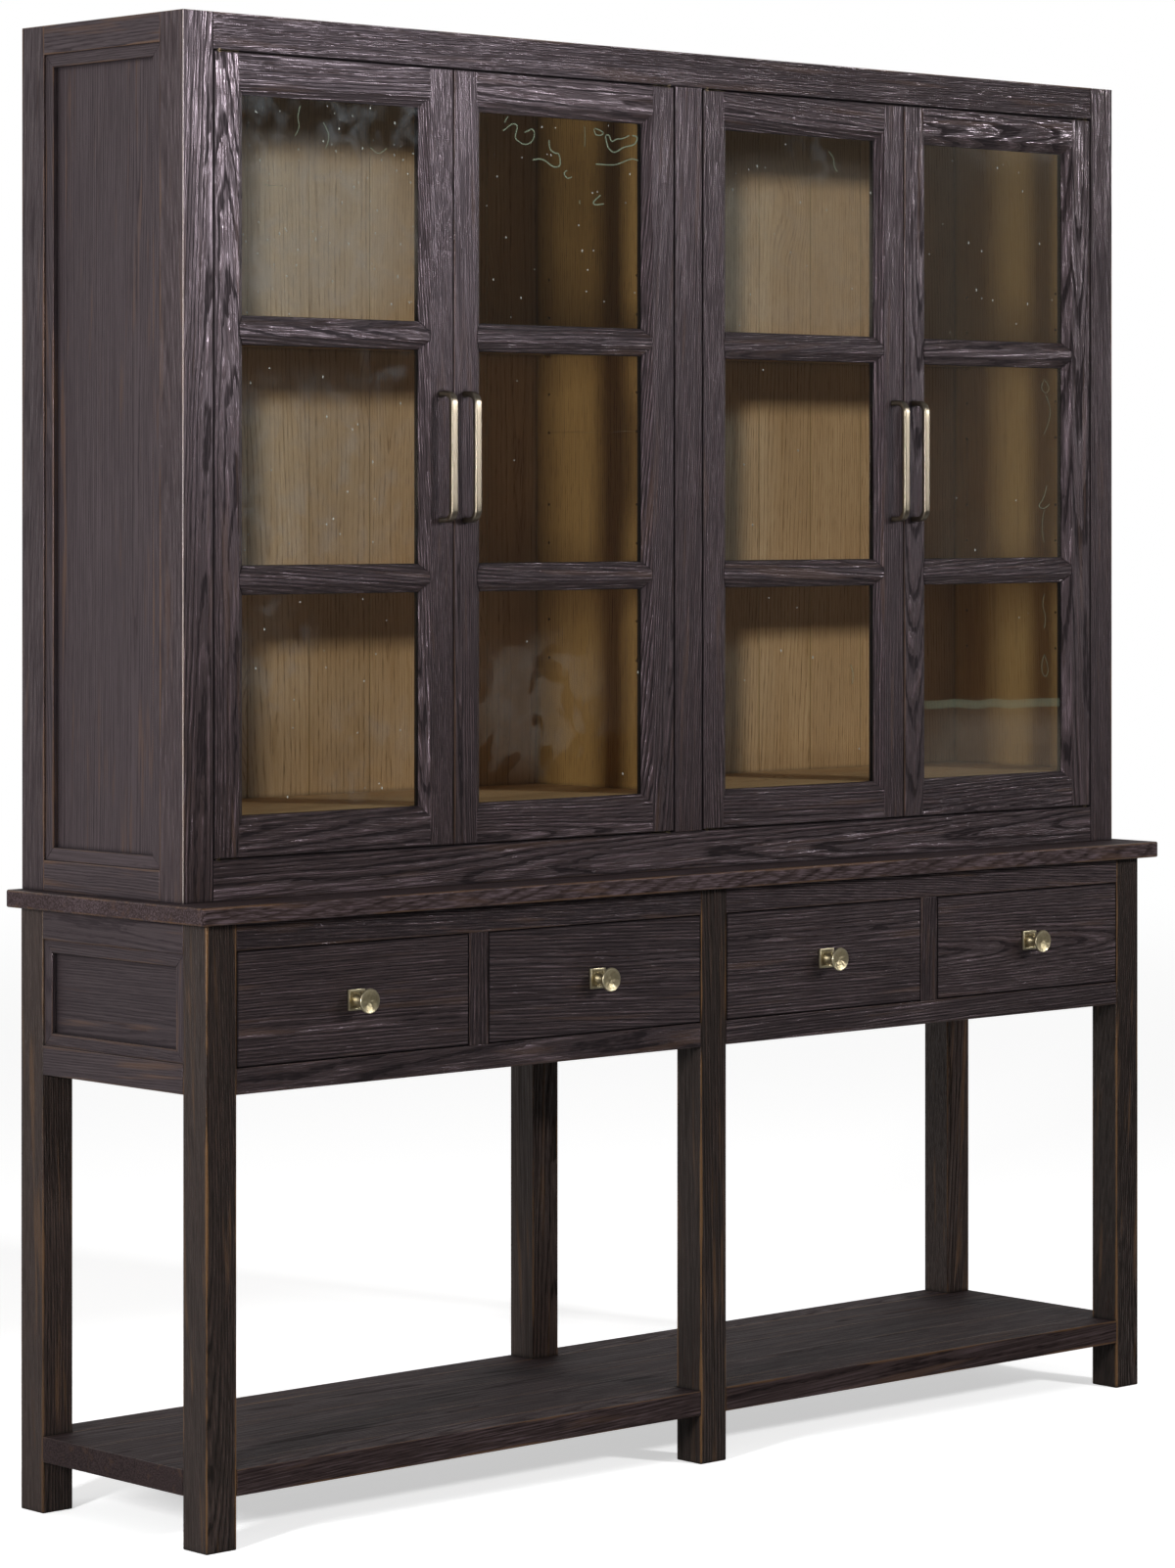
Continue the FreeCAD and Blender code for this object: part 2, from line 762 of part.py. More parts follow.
def door_frame(left, right, holes):
    outlines = [
        stile(left, 1), stile(right, -1),
        cross_member(left, right, door_bottom, door_bottom + door_member_width, False, True),
        cross_member(left, right, door_top - door_member_width, door_top, True, False),
    ]
    for bottom in light_bottoms[1:]:
        outlines.append(cross_member(left, right, bottom - muntin_height, bottom, True, True))
    cuts = []
    beads = []
    for bottom in light_bottoms:
        x0 = left + door_member_width
        x1 = right - door_member_width
        cuts += light_cut(x0, x1, bottom, bottom + light_height)
        beads += mitred_frame(
            (x0 - rebate_width, bottom - rebate_width),
            (x1 + rebate_width, bottom + light_height + rebate_width),
            rebate_width, lambda x, z: (x, door_back, z),
            (0, door_bevel_depth + glass_thickness - door_thickness, 0),
        )
    members = []
    for outline in outlines:
        member = prism([(x, hutch_front, z) for x, z in outline], (0, door_thickness, 0))
        rounded = outer_front_edges(member, left, right)
        if rounded:
            member = member.makeFillet(frame_edge_radius, rounded)
        members.append(member.cut(cuts + holes))
    return members + beads


def door_glass(left, right):
    reach = rebate_width - glass_edge_gap
    seat = hutch_front + door_bevel_depth
    return [
        box(left + door_member_width - reach, right - door_member_width + reach, seat, seat + glass_thickness,
            bottom - reach, bottom + light_height + reach)
        for bottom in light_bottoms
    ]


def pull_bar(x):
    """Flat bar bent into a D, with its ends square on the stile."""
    out = hutch_front - pull_projection
    bend = out + pull_corner_radius
    low = (door_bottom + door_top - pull_length) / 2
    high = low + pull_length
    inner = pull_corner_radius - pull_thickness
    slant = 0.5 ** 0.5

    def at(y, z):
        return FreeCAD.Vector(x - pull_width / 2, y, z)

    def corner(z_bend, z_sign, radius):
        """Arc from the arm to the grip, around the bend's centre."""
        return (
            at(bend, z_bend + z_sign * radius),
            at(bend - radius * slant, z_bend + z_sign * radius * slant),
            at(bend - radius, z_bend),
        )

    top_outer = corner(high - pull_corner_radius, 1, pull_corner_radius)
    top_inner = corner(high - pull_corner_radius, 1, inner)
    low_outer = corner(low + pull_corner_radius, -1, pull_corner_radius)
    low_inner = corner(low + pull_corner_radius, -1, inner)
    curves = [
        Part.LineSegment(at(hutch_front, high), top_outer[0]),
        Part.Arc(*top_outer),
        Part.LineSegment(top_outer[2], low_outer[2]),
        Part.Arc(low_outer[2], low_outer[1], low_outer[0]),
        Part.LineSegment(low_outer[0], at(hutch_front, low)),
        Part.LineSegment(at(hutch_front, low), at(hutch_front, low + pull_thickness)),
        Part.LineSegment(at(hutch_front, low + pull_thickness), low_inner[0]),
        Part.Arc(*low_inner),
        Part.LineSegment(low_inner[2], top_inner[2]),
        Part.Arc(top_inner[2], top_inner[1], top_inner[0]),
        Part.LineSegment(top_inner[0], at(hutch_front, high - pull_thickness)),
        Part.LineSegment(at(hutch_front, high - pull_thickness), at(hutch_front, high)),
    ]
    face = Part.Face(Part.Wire([curve.toShape() for curve in curves]))
    bar = face.extrude(FreeCAD.Vector(pull_width, 0, 0))
    long_edges = [
        edge for edge in bar.Edges
        if edge.BoundBox.XLength < 0.001 and edge.BoundBox.YMin < hutch_front - 0.001
    ]
    return bar.makeFillet(pull_edge_radius, long_edges), [low + pull_thickness / 2, high - pull_thickness / 2]


def pull_screw(x, z):
    shank = cylinder_y(x, z, hutch_front - pull_screw_reach, door_back, pull_screw_radius)
    head = cylinder_y(x, z, door_back, door_back + screw_head_thickness, screw_head_radius)
    return shank.fuse(head).removeSplitter()


catches = []
catch_height = (door_bottom + floor_bottom) / 2
for number, (left, hinge_side) in enumerate(doors, 1):
    right = left + door_width
    pivot_x, into_door = door_pivot(left, hinge_side)
    free_edge = right if hinge_side < 0 else left
    pivot_y = hutch_front + pivot_from_front

    # The door's hinge leaves lie in its top and bottom ends, and turn on the case leaves' pins
    leaf_blanks = []
    leaves = []
    for z0 in (door_bottom, door_top - leaf_thickness):
        eye_hole = Part.makeCylinder(hinge_pin_radius + hinge_pin_fit, leaf_thickness,
                                     FreeCAD.Vector(pivot_x, pivot_y, z0))
        blank = hinge_leaf(pivot_x, into_door, z0)
        leaf_blanks.append(blank)
        leaves.append(blank.cut(eye_hole))
    catch_x = free_edge - into_door * catch_from_edge
    strike = cylinder_y(catch_x, catch_height, door_back - strike_thickness, door_back, strike_radius)
    catches.append(
        cylinder_y(catch_x, catch_height, door_back + catch_gap, floor_front, catch_radius)
    )

    pull_x = free_edge - into_door * door_flat_width / 2
    bar, feet = pull_bar(pull_x)
    screws = [pull_screw(pull_x, z) for z in feet]
    screw_holes = [
        cylinder_y(pull_x, z, hutch_front, door_back, pull_screw_radius + screw_hole_clearance) for z in feet
    ]

    name = "door_%d" % number
    pockets = leaf_blanks + [strike] + screw_holes
    save(name + "_frame", door_frame(left, right, pockets))
    save(name + "_glass", door_glass(left, right))
    save(name + "_pull", [bar.cut(screws)] + screws)
    save(name + "_hinge_leaves", leaves + [strike])
save("door_catches", catches)
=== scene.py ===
import functools
import json
import math
import random

import bmesh
import bpy
from mathutils import Matrix, Vector, noise


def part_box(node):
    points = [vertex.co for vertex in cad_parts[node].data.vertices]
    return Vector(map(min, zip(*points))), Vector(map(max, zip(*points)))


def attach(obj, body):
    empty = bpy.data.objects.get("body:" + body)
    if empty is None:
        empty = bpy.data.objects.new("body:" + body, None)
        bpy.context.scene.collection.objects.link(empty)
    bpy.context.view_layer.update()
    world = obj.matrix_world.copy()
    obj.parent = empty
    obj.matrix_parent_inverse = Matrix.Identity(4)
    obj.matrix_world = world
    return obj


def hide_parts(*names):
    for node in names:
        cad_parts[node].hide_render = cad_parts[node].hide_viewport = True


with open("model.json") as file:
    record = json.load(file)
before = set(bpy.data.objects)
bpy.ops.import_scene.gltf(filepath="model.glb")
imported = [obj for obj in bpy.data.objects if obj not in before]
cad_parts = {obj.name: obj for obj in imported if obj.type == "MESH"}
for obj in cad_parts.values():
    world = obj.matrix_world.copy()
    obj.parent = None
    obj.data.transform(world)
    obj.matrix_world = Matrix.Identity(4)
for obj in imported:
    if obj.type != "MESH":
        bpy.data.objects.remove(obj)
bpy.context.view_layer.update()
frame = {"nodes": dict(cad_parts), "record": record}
nodes = frame["nodes"]
bodyOfNode = {node: body for body, members in frame["record"]["behaviour"]["bodies"].items() for node in members}
print("frame loaded:", len(nodes), "nodes")


def toLinear(hexColour):
    channels = [int(hexColour[i:i + 2], 16) / 255 for i in (1, 3, 5)]
    return [c / 12.92 if c <= 0.04045 else ((c + 0.055) / 1.055) ** 2.4 for c in channels] + [1.0]


modeOf = {"Math": "operation", "VectorMath": "operation", "MapRange": "interpolation_type", "Mix": "data_type"}


def addNode(tree, kind, inputs=(), mode=None, **settings):
    # inputs: a list in socket order, or a dictionary by socket name or number
    made = tree.nodes.new("ShaderNode" + kind)
    if mode:
        settings[modeOf[kind]] = mode
    for name, value in settings.items():
        setattr(made, name, value)
    for name, value in (inputs.items() if isinstance(inputs, dict) else enumerate(inputs)):
        if isinstance(value, bpy.types.Node):
            value = next(out for out in value.outputs if out.enabled)
        if isinstance(value, bpy.types.NodeSocket):
            tree.links.new(value, made.inputs[name])
        else:
            made.inputs[name].default_value = value
    return made


def startNodes(owner):
    # clears the nodes of a material or world, and gives back the function that adds one to it
    owner.use_nodes = True
    owner.node_tree.nodes.clear()
    return functools.partial(addNode, owner.node_tree)


def newMaterial(name):
    material = bpy.data.materials.new(name)
    return material, startNodes(material)


def fillRamp(ramp, stops):
    stops = list(stops)
    elements = ramp.color_ramp.elements
    while len(elements) < len(stops):
        elements.new(0.5)
    for element, (place, hexColour) in zip(elements, stops):
        element.position = place
        element.color = toLinear(hexColour)


def placeObject(name, data, location=(0, 0, 0), rotation=(0, 0, 0)):
    placed = bpy.data.objects.new(name, data)
    placed.location = location
    placed.rotation_euler = rotation
    bpy.context.scene.collection.objects.link(placed)
    return placed


def finishPiece(name, bm, material, node, replaces=True, smooth=False, sharpFrom=None):
    # the piece rides with the body of its node; sharpFrom is the angle from which its edges stay sharp, in degrees
    for face in bm.faces if smooth else ():
        face.smooth = True
    mesh = bpy.data.meshes.new(name)
    bm.to_mesh(mesh)
    bm.free()
    mesh.materials.append(material)
    piece = placeObject(name, mesh)
    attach(piece, bodyOfNode[node])
    if replaces:
        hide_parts(node)
    if sharpFrom:
        mesh.set_sharp_from_angle(angle=math.radians(sharpFrom))


cameraValues = {
    "location": (-5.49016, -5.89063, 1.54435),  # m
    "turn": -42.5707,      # degrees about Z
    "lens": 111.937,       # mm on a 36 mm long side
    "shiftDown": 0.17573,  # of the long side
}


def placeCamera(values):
    data = bpy.data.cameras.new("camera")
    data.lens = values["lens"]
    data.sensor_width = 36
    data.shift_y = -values["shiftDown"]
    data.clip_end = 200
    rotation = (math.radians(90), 0, math.radians(values["turn"]))
    bpy.context.scene.camera = placeObject("camera", data, values["location"], rotation)


placeCamera(cameraValues)
bpy.context.scene.view_settings.view_transform = "Standard"
print("camera placed")


studioValues = {
    "ambient": (0.18, 0.42),  # the walls as the wood sees them, in front and behind
    "frontReflection": 0.08,  # what a gloss sees towards the dark end of the room
    "wallBlend": (0.5, 0.3),  # how far the front and the back run into each other, for matt and for gloss
    # lamps: place, aim, width and height, power, seen in matt surfaces, seen in gloss
    "lamps": {
        "keyLight": ((2.2, -5.6, 2.9), (0, 0, 1.4), (0.7, 0.5), 236, True, False),
        "sideLight": ((-4.32, -1.34, 1.6), (0.3, 0.2, 1.3), (0.3, 0.9), 125, True, True),
        # a tall strip beyond the left side draws a thin line of light down the rounded corner
        "stripLight": ((-6.4, 1.05, 1.6), (-1.04, -0.16, 1.6), (0.3, 3.2), 60, False, True),
    },
    # accents are seen by gloss alone: place, aim, cone in degrees, radius, power
    "accents": {
        "sheenLeft": ((2.2, -5.6, 3.1), (-1.05, -0.16, 2.4), 20, 0.3, 3000),
        "sheenMiddle": ((4.2, -5.7, 3.4), (-0.2, -0.16, 2.4), 20, 0.3, 760),
        "sheenRight": ((7.2, -5.8, 3.2), (0.95, -0.16, 2.0), 18, 0.3, 1200),
        "arrisGlint": ((-5.0, -3.3, 2.6), (-0.2, -0.2, 1.6), 25, 0.3, 240),
        "bevelSheen": ((-1.8, -5.4, 2.6), (0.85, -0.15, 1.6), 17, 0.4, 420),
        "knobGlint": ((4.6, -6.6, 3.9), (0.1, -0.25, 0.8), 20, 0.3, 620),
    },
    "floorRadius": 25.0, "floorGrey": 0.42, "speckle": 0.005,
    "floorSeen": 2.5, "floorLift": 0.55, "floorGloss": 0.2,
    "floorInGloss": -0.8,        # the floor is darker where a gloss sees its front part
    "darkFront": (-2.2, -0.4),   # m, where the dark front of the room ends
    "backdrop": (4.0, 12.0),     # m from the piece, where the floor runs into the white backdrop
}


def placeLamp(name, place, aim, power, matt, gloss, kind, **settings):
    data = bpy.data.lights.new(name, kind)
    data.energy = power
    for setting, value in settings.items():
        setattr(data, setting, value)
    rotation = (Vector(aim) - Vector(place)).to_track_quat("-Z", "Y").to_euler()
    lamp = placeObject(name, data, place, rotation)
    lamp.visible_diffuse = matt
    lamp.visible_glossy = gloss


def makeWorld(values):
    world = bpy.data.worlds.new("studio")
    bpy.context.scene.world = world
    add = startNodes(world)
    towards = add("SeparateXYZ", [add("TexCoord").outputs["Generated"]]).outputs["Y"]
    path = add("LightPath").outputs
    forMatt, forGloss = values["wallBlend"]
    behind = add("MapRange", [towards, -forGloss, forGloss, values["frontReflection"], 1.0], "SMOOTHSTEP")
    wall = add("MapRange", [towards, -forMatt, forMatt, *values["ambient"]], "SMOOTHSTEP")
    soft = add("Mix", {0: path["Is Glossy Ray"], 2: wall, 3: behind}, "FLOAT")
    straight = add("Math", [path["Is Camera Ray"], path["Is Transmission Ray"]], "MAXIMUM")
    strength = add("Mix", {0: straight, 2: soft, 3: 1.0}, "FLOAT")
    sky = add("Background", {"Color": (1, 1, 1, 1), "Strength": strength})
    add("OutputWorld", [sky])


def makeFloor(values):
    # painted studio floor: matt and pale, so the shadow under the shelf stays light and soft
    material, add = newMaterial("mattPaintedFloor")
    path = add("LightPath").outputs
    place = add("TexCoord").outputs["Object"]
    # in front of the piece the room is dark, so a gloss sees the white floor only beside and behind it
    towards = add("SeparateXYZ", [place]).outputs["Y"]
    behind = add("MapRange", [towards, *values["darkFront"]], "SMOOTHSTEP")
    inGloss = add("Math", [path["Is Glossy Ray"], behind], "MULTIPLY")
    softly = add("Math", [inGloss, values["floorGloss"]], "MULTIPLY")
    straight = add("Math", [path["Is Camera Ray"], path["Is Transmission Ray"]], "MAXIMUM")
    seen = add("Math", [straight, softly], "MAXIMUM")
    speckle = add("TexNoise", {"Vector": place, "Scale": 40.0, "Detail": 2.0})
    low, high = values["floorGrey"] - values["speckle"], values["floorGrey"] + values["speckle"]
    grey = add("MapRange", {0: speckle, 3: low, 4: high})
    dark = add("Math", [path["Is Glossy Ray"], inGloss], "SUBTRACT")
    brighter = add("Math", [path["Is Camera Ray"], values["floorSeen"] - 1, 1.0], "MULTIPLY_ADD")
    darker = add("Math", [dark, values["floorInGloss"], brighter], "MULTIPLY_ADD")
    paint = add("BsdfDiffuse", [add("Math", [grey, darker], "MULTIPLY")])
    lift = add("Math", [seen, values["floorLift"]], "MULTIPLY")
    shine = add("Emission", [(1, 1, 1, 1), lift])
    distance = add("VectorMath", [place], "LENGTH").outputs["Value"]
    far = add("MapRange", [distance, *values["backdrop"]], "SMOOTHSTEP")
    farSeen = add("Math", [far, straight], "MULTIPLY")
    white = add("Emission", [(1, 1, 1, 1), 1.0])
    mixed = add("MixShader", [farSeen, add("AddShader", [paint, shine]), white])
    add("OutputMaterial", [mixed])
    bm = bmesh.new()
    bmesh.ops.create_circle(bm, cap_ends=True, segments=96, radius=values["floorRadius"])
    mesh = bpy.data.meshes.new("floor")
    bm.to_mesh(mesh)
    bm.free()
    mesh.materials.append(material)
    placeObject("floor", mesh)


makeWorld(studioValues)
makeFloor(studioValues)
for lamp, (place, aim, (wide, high), power, matt, gloss) in studioValues["lamps"].items():
    placeLamp(lamp, place, aim, power, matt, gloss, "AREA", shape="RECTANGLE", size=wide, size_y=high)
for lamp, (place, aim, cone, radius, power) in studioValues["accents"].items():
    placeLamp(lamp, place, aim, power, False, True, "SPOT", spot_size=math.radians(cone), spot_blend=1.0,
              shadow_soft_size=radius)
print("studio ready")


# Brushed oak under a near-black stain: the soft early wood is brushed out into dark grooves,
# the hard late wood stands up with a low mauve-grey sheen, and brown wood shows on rubbed edges.
darkOakValues = {
    "ringSpacing": 4.5,   # mm; real rings are 2 to 3, drawn coarser so they show
    "bandWidth": 1.4,     # mm of open early wood in each ring
    "waves": {"bends": 24, "ripples": 6, "wriggles": 2.4, "splinters": 1.2},  # mm
    # noise layers per metre along and across the grain, detail and roughness; a real pore is a dash
    # 0.3 mm wide, drawn 1.5 mm wide so that it shows
    "grain": {
        "bends": ((0.9, 5, 5), 1.0, 0.5), "ripples": ((4.5, 20, 20), 1.0, 0.5),
        "wriggles": ((14, 70, 70), 1.0, 0.5), "splinters": ((50, 260, 260), 1.0, 0.5),
        "pores": ((36, 400, 400), 1.0, 0.4), "fibres": ((6, 420, 420), 2.0, 0.6),
        "blotches": ((2.2, 9, 9), 2.0, 0.5), "streaks": ((3.5, 60, 60), 2.0, 0.55),
        "rub": ((16, 60, 60), 3.0, 0.6), "patches": ((4, 14, 14), 2.0, 0.5)},
    # where a noise layer starts and is full
    "poreEdges": (0.53, 0.66), "fibreEdges": (0.36, 0.64), "streakEdges": (0.58, 0.72), "patchEdges": (0.36, 0.66),
    "poreShare": (0.3, 0.6, 0.5, 1.15), "poresOutside": 0.35,
    "crestPlaces": (0.15, 0.3, 0.38, 0.6),  # shares of a ring, from its end: rises, full, falls, gone
    "stops": [(0.0, "#110d0c"), (0.3, "#1e1716"), (0.68, "#342a29"), (1.0, "#574a4e")],
    # the pale silvery colour for the hutch's upright corners is a painted glint
    "paintedGlintColour": "#c4bab4", "wornColour": "#64492f", "streakColour": "#48362a", "streakShare": 0.45,
    "level": 0.5, "contrast": 0.38, "poreContrast": 0.18, "fibreContrast": 0.3, "blotchContrast": 0.25,
    "crestPalenessAndSheen": 0.34, "sideBrushing": 0.25, "sidesFrom": (0.7, 0.95),
    "lateRoughness": 0.25, "valleyRoughness": 0.72, "earlyRoughness": 0.95, "edgeRoughness": 0.24,
    "rubReach": (0.6, 4.8), "rubEdges": (0.45, 1.05),  # mm from an edge, and how far the rub is broken up
    "arrisEdges": (0.86, 1.16), "arrisRub": 0.85, "cornerRub": 0.8, "paintedGlintShare": 0.6, "polish": 0.8,
    # dust in crevices, darkened by ambient occlusion: partly painted shade
    "grimeAndShadeReach": 9.0, "grimeAndShadeEdges": (0.45, 0.95), "grimeAndShade": 0.9, "grimeAndShadeColour": "#0b0908",  # mm
    # dark stain and painted shade in bands along the gaps
    "jointReach": (0.9, 2.2), "jointClear": (4, 12), "jointStainAndShade": 0.85,                    # mm
    "relief": 0.7, "depths": (-0.6, -0.35, 0.35), "crestHeight": 0.8,  # mm, shares for bands, pores and fibres
    "gloss": 0.44, "glossTint": "#f0dcec", "knots": None,
}
# The sides of the same stained oak, sanded smoother, with thin brown streaks along the grain.
sideOakValues = dict(
    darkOakValues, stops=[(0.0, "#191413"), (0.3, "#251e1e"), (0.68, "#352d2d"), (1.0, "#41373a")],
    sideBrushing=1.0, streakShare=0.85, level=0.68, contrast=0.3, crestPalenessAndSheen=0.05, relief=0.2,
    lateRoughness=0.48, valleyRoughness=0.6, earlyRoughness=0.75, ringSpacing=3.8, gloss=0.45)
# The legs are browner, rubbed by feet and by cleaning.
legOakValues = dict(
    darkOakValues, stops=[(0.0, "#110d0b"), (0.3, "#1e1613"), (0.68, "#322724"), (1.0, "#41342e")],
    gloss=0.35, glossTint="#f0e6e0", streakColour="#523c2a", streakShare=0.6)
# The same oak on level tops, rubbed dull by use.
topOakValues = dict(
    darkOakValues, level=0.58, contrast=0.16, crestPalenessAndSheen=0.06, lateRoughness=0.7, valleyRoughness=0.85,
    gloss=0.18, relief=0.3)
# Oiled natural oak for the inside: honey brown, open pores as short dark dashes, a few knots.
naturalOakValues = dict(
    darkOakValues, ringSpacing=6.5, bandWidth=2.0, waves={"bends": 40, "ripples": 10, "wriggles": 2.0},
    stops=[(0.0, "#6d5139"), (0.3, "#987657"), (0.7, "#bc997a"), (1.0, "#dcbd9c")],
    wornColour="#b4936e", streakColour="#a07c57", level=0.66, contrast=0.2, poreContrast=0.24, fibreContrast=0.1,
    blotchContrast=0.4, lateRoughness=0.48, valleyRoughness=0.58, earlyRoughness=0.65, sideBrushing=1.0,
    crestPalenessAndSheen=0.0, crestHeight=0.0, grimeAndShade=0.4, relief=0.15, gloss=0.4, glossTint="#ffffff",
    knots={"cells": (2.2, 6, 6), "shape": (1 / 3.6, 1 / 6, 1 / 6), "scatter": 0.9, "cellsFrom": 0.72,
           "swelling": (0.07, 0.03), "core": (0.004, 0.013), "colour": "#3a291b"})
# The inner walls are a straighter, yellower oak, cut with the grain upright.
wallOakValues = dict(
    naturalOakValues, stops=[(0.0, "#745333"), (0.3, "#9f7847"), (0.7, "#c09865"), (1.0, "#ceab78")], knots=None)


def makeOak(name, values):
    material, add = newMaterial(name)
    mm = 0.001
    own = {label: add("Attribute", attribute_name=label).outputs["Vector"]
           for label in ("logAt", "boardLook", "boardAt", "boardHalf", "jointAt", "jointHalf")}
    logAt, arris = own["logAt"], add("Attribute", attribute_name="arris").outputs["Fac"]
    tone, wear, ringScale = add("SeparateXYZ", [own["boardLook"]]).outputs
    grain = {}
    for label, (scale, detail, roughness) in values["grain"].items():
        stretched = add("VectorMath", [logAt, scale], "MULTIPLY")
        grain[label] = add("TexNoise", {"Vector": stretched, "Scale": 1.0, "Detail": detail, "Roughness": roughness})

    # the trunk's slow bends and small waves move the rings across the grain only
    across = logAt
    for label, reach in values["waves"].items():
        centred = add("VectorMath", [grain[label].outputs["Color"], (0.5, 0.5, 0.5)], "SUBTRACT")
        moved = add("VectorMath", [centred, (0, reach * mm, reach * mm)], "MULTIPLY")
        across = add("VectorMath", [across, moved], "ADD")
    across = add("VectorMath", [across, (0, 1, 1)], "MULTIPLY")
    radius = add("VectorMath", [across], "LENGTH").outputs["Value"]
    covers = []  # share and colour of each layer over the bare ramp
    knots = values["knots"]
    if knots:
        # one knot here and there: rings swell round it
        inCells = add("VectorMath", [logAt, knots["cells"]], "MULTIPLY")
        cells = add("TexVoronoi", {"Vector": inCells, "Scale": 1.0, "Randomness": knots["scatter"]})
        away = add("VectorMath", [inCells, cells.outputs["Position"]], "SUBTRACT")
        away = add("VectorMath", [away, knots["shape"]], "MULTIPLY")
        gap = add("VectorMath", [away], "LENGTH").outputs["Value"]
        chosen = add("SeparateColor", [cells.outputs["Color"]]).outputs["Red"]
        isKnot = add("Math", [chosen, knots["cellsFrom"]], "GREATER_THAN")
        swelling = add("MapRange", [gap, 0.0, knots["swelling"][0], 1.0, 0.0], "SMOOTHSTEP")
        swell = add("Math", [isKnot, swelling], "MULTIPLY")
        radius = add("Math", [swell, knots["swelling"][1], radius], "MULTIPLY_ADD")
        core = add("MapRange", [gap, *knots["core"], 0.85, 0.0], "SMOOTHSTEP")
        covers.append((add("Math", [isKnot, core], "MULTIPLY"), knots["colour"]))

    # each ring starts sharply with open early wood and closes slowly into hard late wood
    spacing = add("Math", [ringScale, values["ringSpacing"] * mm], "MULTIPLY")
    years = add("TexNoise", {"W": add("Math", [radius, 80.0], "MULTIPLY"), "Scale": 1.0, "Detail": 1.0},
                noise_dimensions="1D")
    rings = add("Math", [add("Math", [radius, spacing], "DIVIDE"), years], "ADD")
    sinceStart = add("Math", [add("Math", [rings], "FRACT"), spacing], "MULTIPLY")
    beforeNext = add("Math", [spacing, sinceStart], "SUBTRACT")
    band = add("Math", [ringScale, values["bandWidth"] * mm], "MULTIPLY")
    bandFades = add("Math", [band, 0.4], "MULTIPLY")
    afterStart = add("MapRange", [sinceStart, bandFades, band, 1.0, 0.0], "SMOOTHSTEP")
    atEnd = add("MapRange", [beforeNext, 0.0, add("Math", [band, 0.2], "MULTIPLY"), 1.0, 0.0], "SMOOTHSTEP")
    early = add("Math", [afterStart, atEnd], "MAXIMUM")
    # the last wood of each ring is the hardest: a thin crest that stands proud and is rubbed pale; its lighter colour
    # is also a painted sheen on the ridges
    rises, full, falls, gone = (add("Math", [spacing, place], "MULTIPLY") for place in values["crestPlaces"])
    crestLine = add("Math", [add("MapRange", [beforeNext, rises, full], "SMOOTHSTEP"),
                             add("MapRange", [beforeNext, falls, gone, 1.0, 0.0], "SMOOTHSTEP")], "MULTIPLY")

    # early wood breaks up into pores, so its edge is ragged; boards are brushed less on the sides
    poreDash = add("MapRange", [grain["pores"], *values["poreEdges"]], "SMOOTHSTEP")
    fibre = add("MapRange", [grain["fibres"], *values["fibreEdges"]], "SMOOTHSTEP")
    poreShare = add("MapRange", [grain["pores"], *values["poreShare"]], "SMOOTHSTEP")
    inBand = add("MapRange", [early, 0.0, 1.0, values["poresOutside"], 1.0], "SMOOTHSTEP")
    facing = add("SeparateXYZ", [add("NewGeometry").outputs["Normal"]]).outputs["X"]
    sideways = add("Math", [facing], "ABSOLUTE")
    brushed = add("MapRange", [sideways, *values["sidesFrom"], 1.0, values["sideBrushing"]])
    ragged, pores, crest = (
        add("Math", [add("Math", pair, "MULTIPLY"), brushed], "MULTIPLY")
        for pair in ((early, poreShare), (poreDash, inBand), (crestLine, fibre)))

    fibreShade, blotchShade = (add("Math", [part, 0.5], "SUBTRACT") for part in (fibre, grain["blotches"]))
    # the crests are painted lighter: rubbed wood and painted sheen together
    shade = values["level"]
    for part, contrast in ((ragged, -values["contrast"]), (pores, -values["poreContrast"]),
                           (fibreShade, values["fibreContrast"]), (blotchShade, values["blotchContrast"]),
                           (crest, values["crestPalenessAndSheen"])):
        shade = add("Math", [part, contrast, shade], "MULTIPLY_ADD")
    ramp = add("ValToRGB", [add("Math", [shade, tone], "ADD")])
    fillRamp(ramp, values["stops"])
    # streaks where the stain is thin, along the grain
    streak = add("MapRange", [grain["streaks"], *values["streakEdges"], 0.0, values["streakShare"]], "SMOOTHSTEP")
    covers.append((streak, values["streakColour"]))

    # joints: dark stain and painted shade of the gap on both sides of it, and clean of rubbing near it
    here = add("SeparateXYZ", [add("TexCoord").outputs["Object"]]).outputs
    jointAt, jointHalf = (add("SeparateXYZ", [own[label]]).outputs for label in ("jointAt", "jointHalf"))
    stainAndShadeOnJoint = add("MapRange", [arris, -1.0, 0.0, values["jointStainAndShade"], 0.0])
    awayFromJoint = 1.0
    for axis in ("X", "Z"):
        toJoint = here[axis]
        for place in (jointAt[axis], jointHalf[axis]):
            toJoint = add("Math", [add("Math", [toJoint, place], "SUBTRACT")], "ABSOLUTE")
        near, far = (reach * mm for reach in values["jointReach"])
        stainAndShadeOnJoint = add("Math", [stainAndShadeOnJoint, add("MapRange", [toJoint, near, far, values["jointStainAndShade"], 0.0])], "MAXIMUM")
        clear = add("MapRange", [toJoint, *(reach * mm for reach in values["jointClear"])])
        awayFromJoint = add("Math", [awayFromJoint, clear], "MULTIPLY")

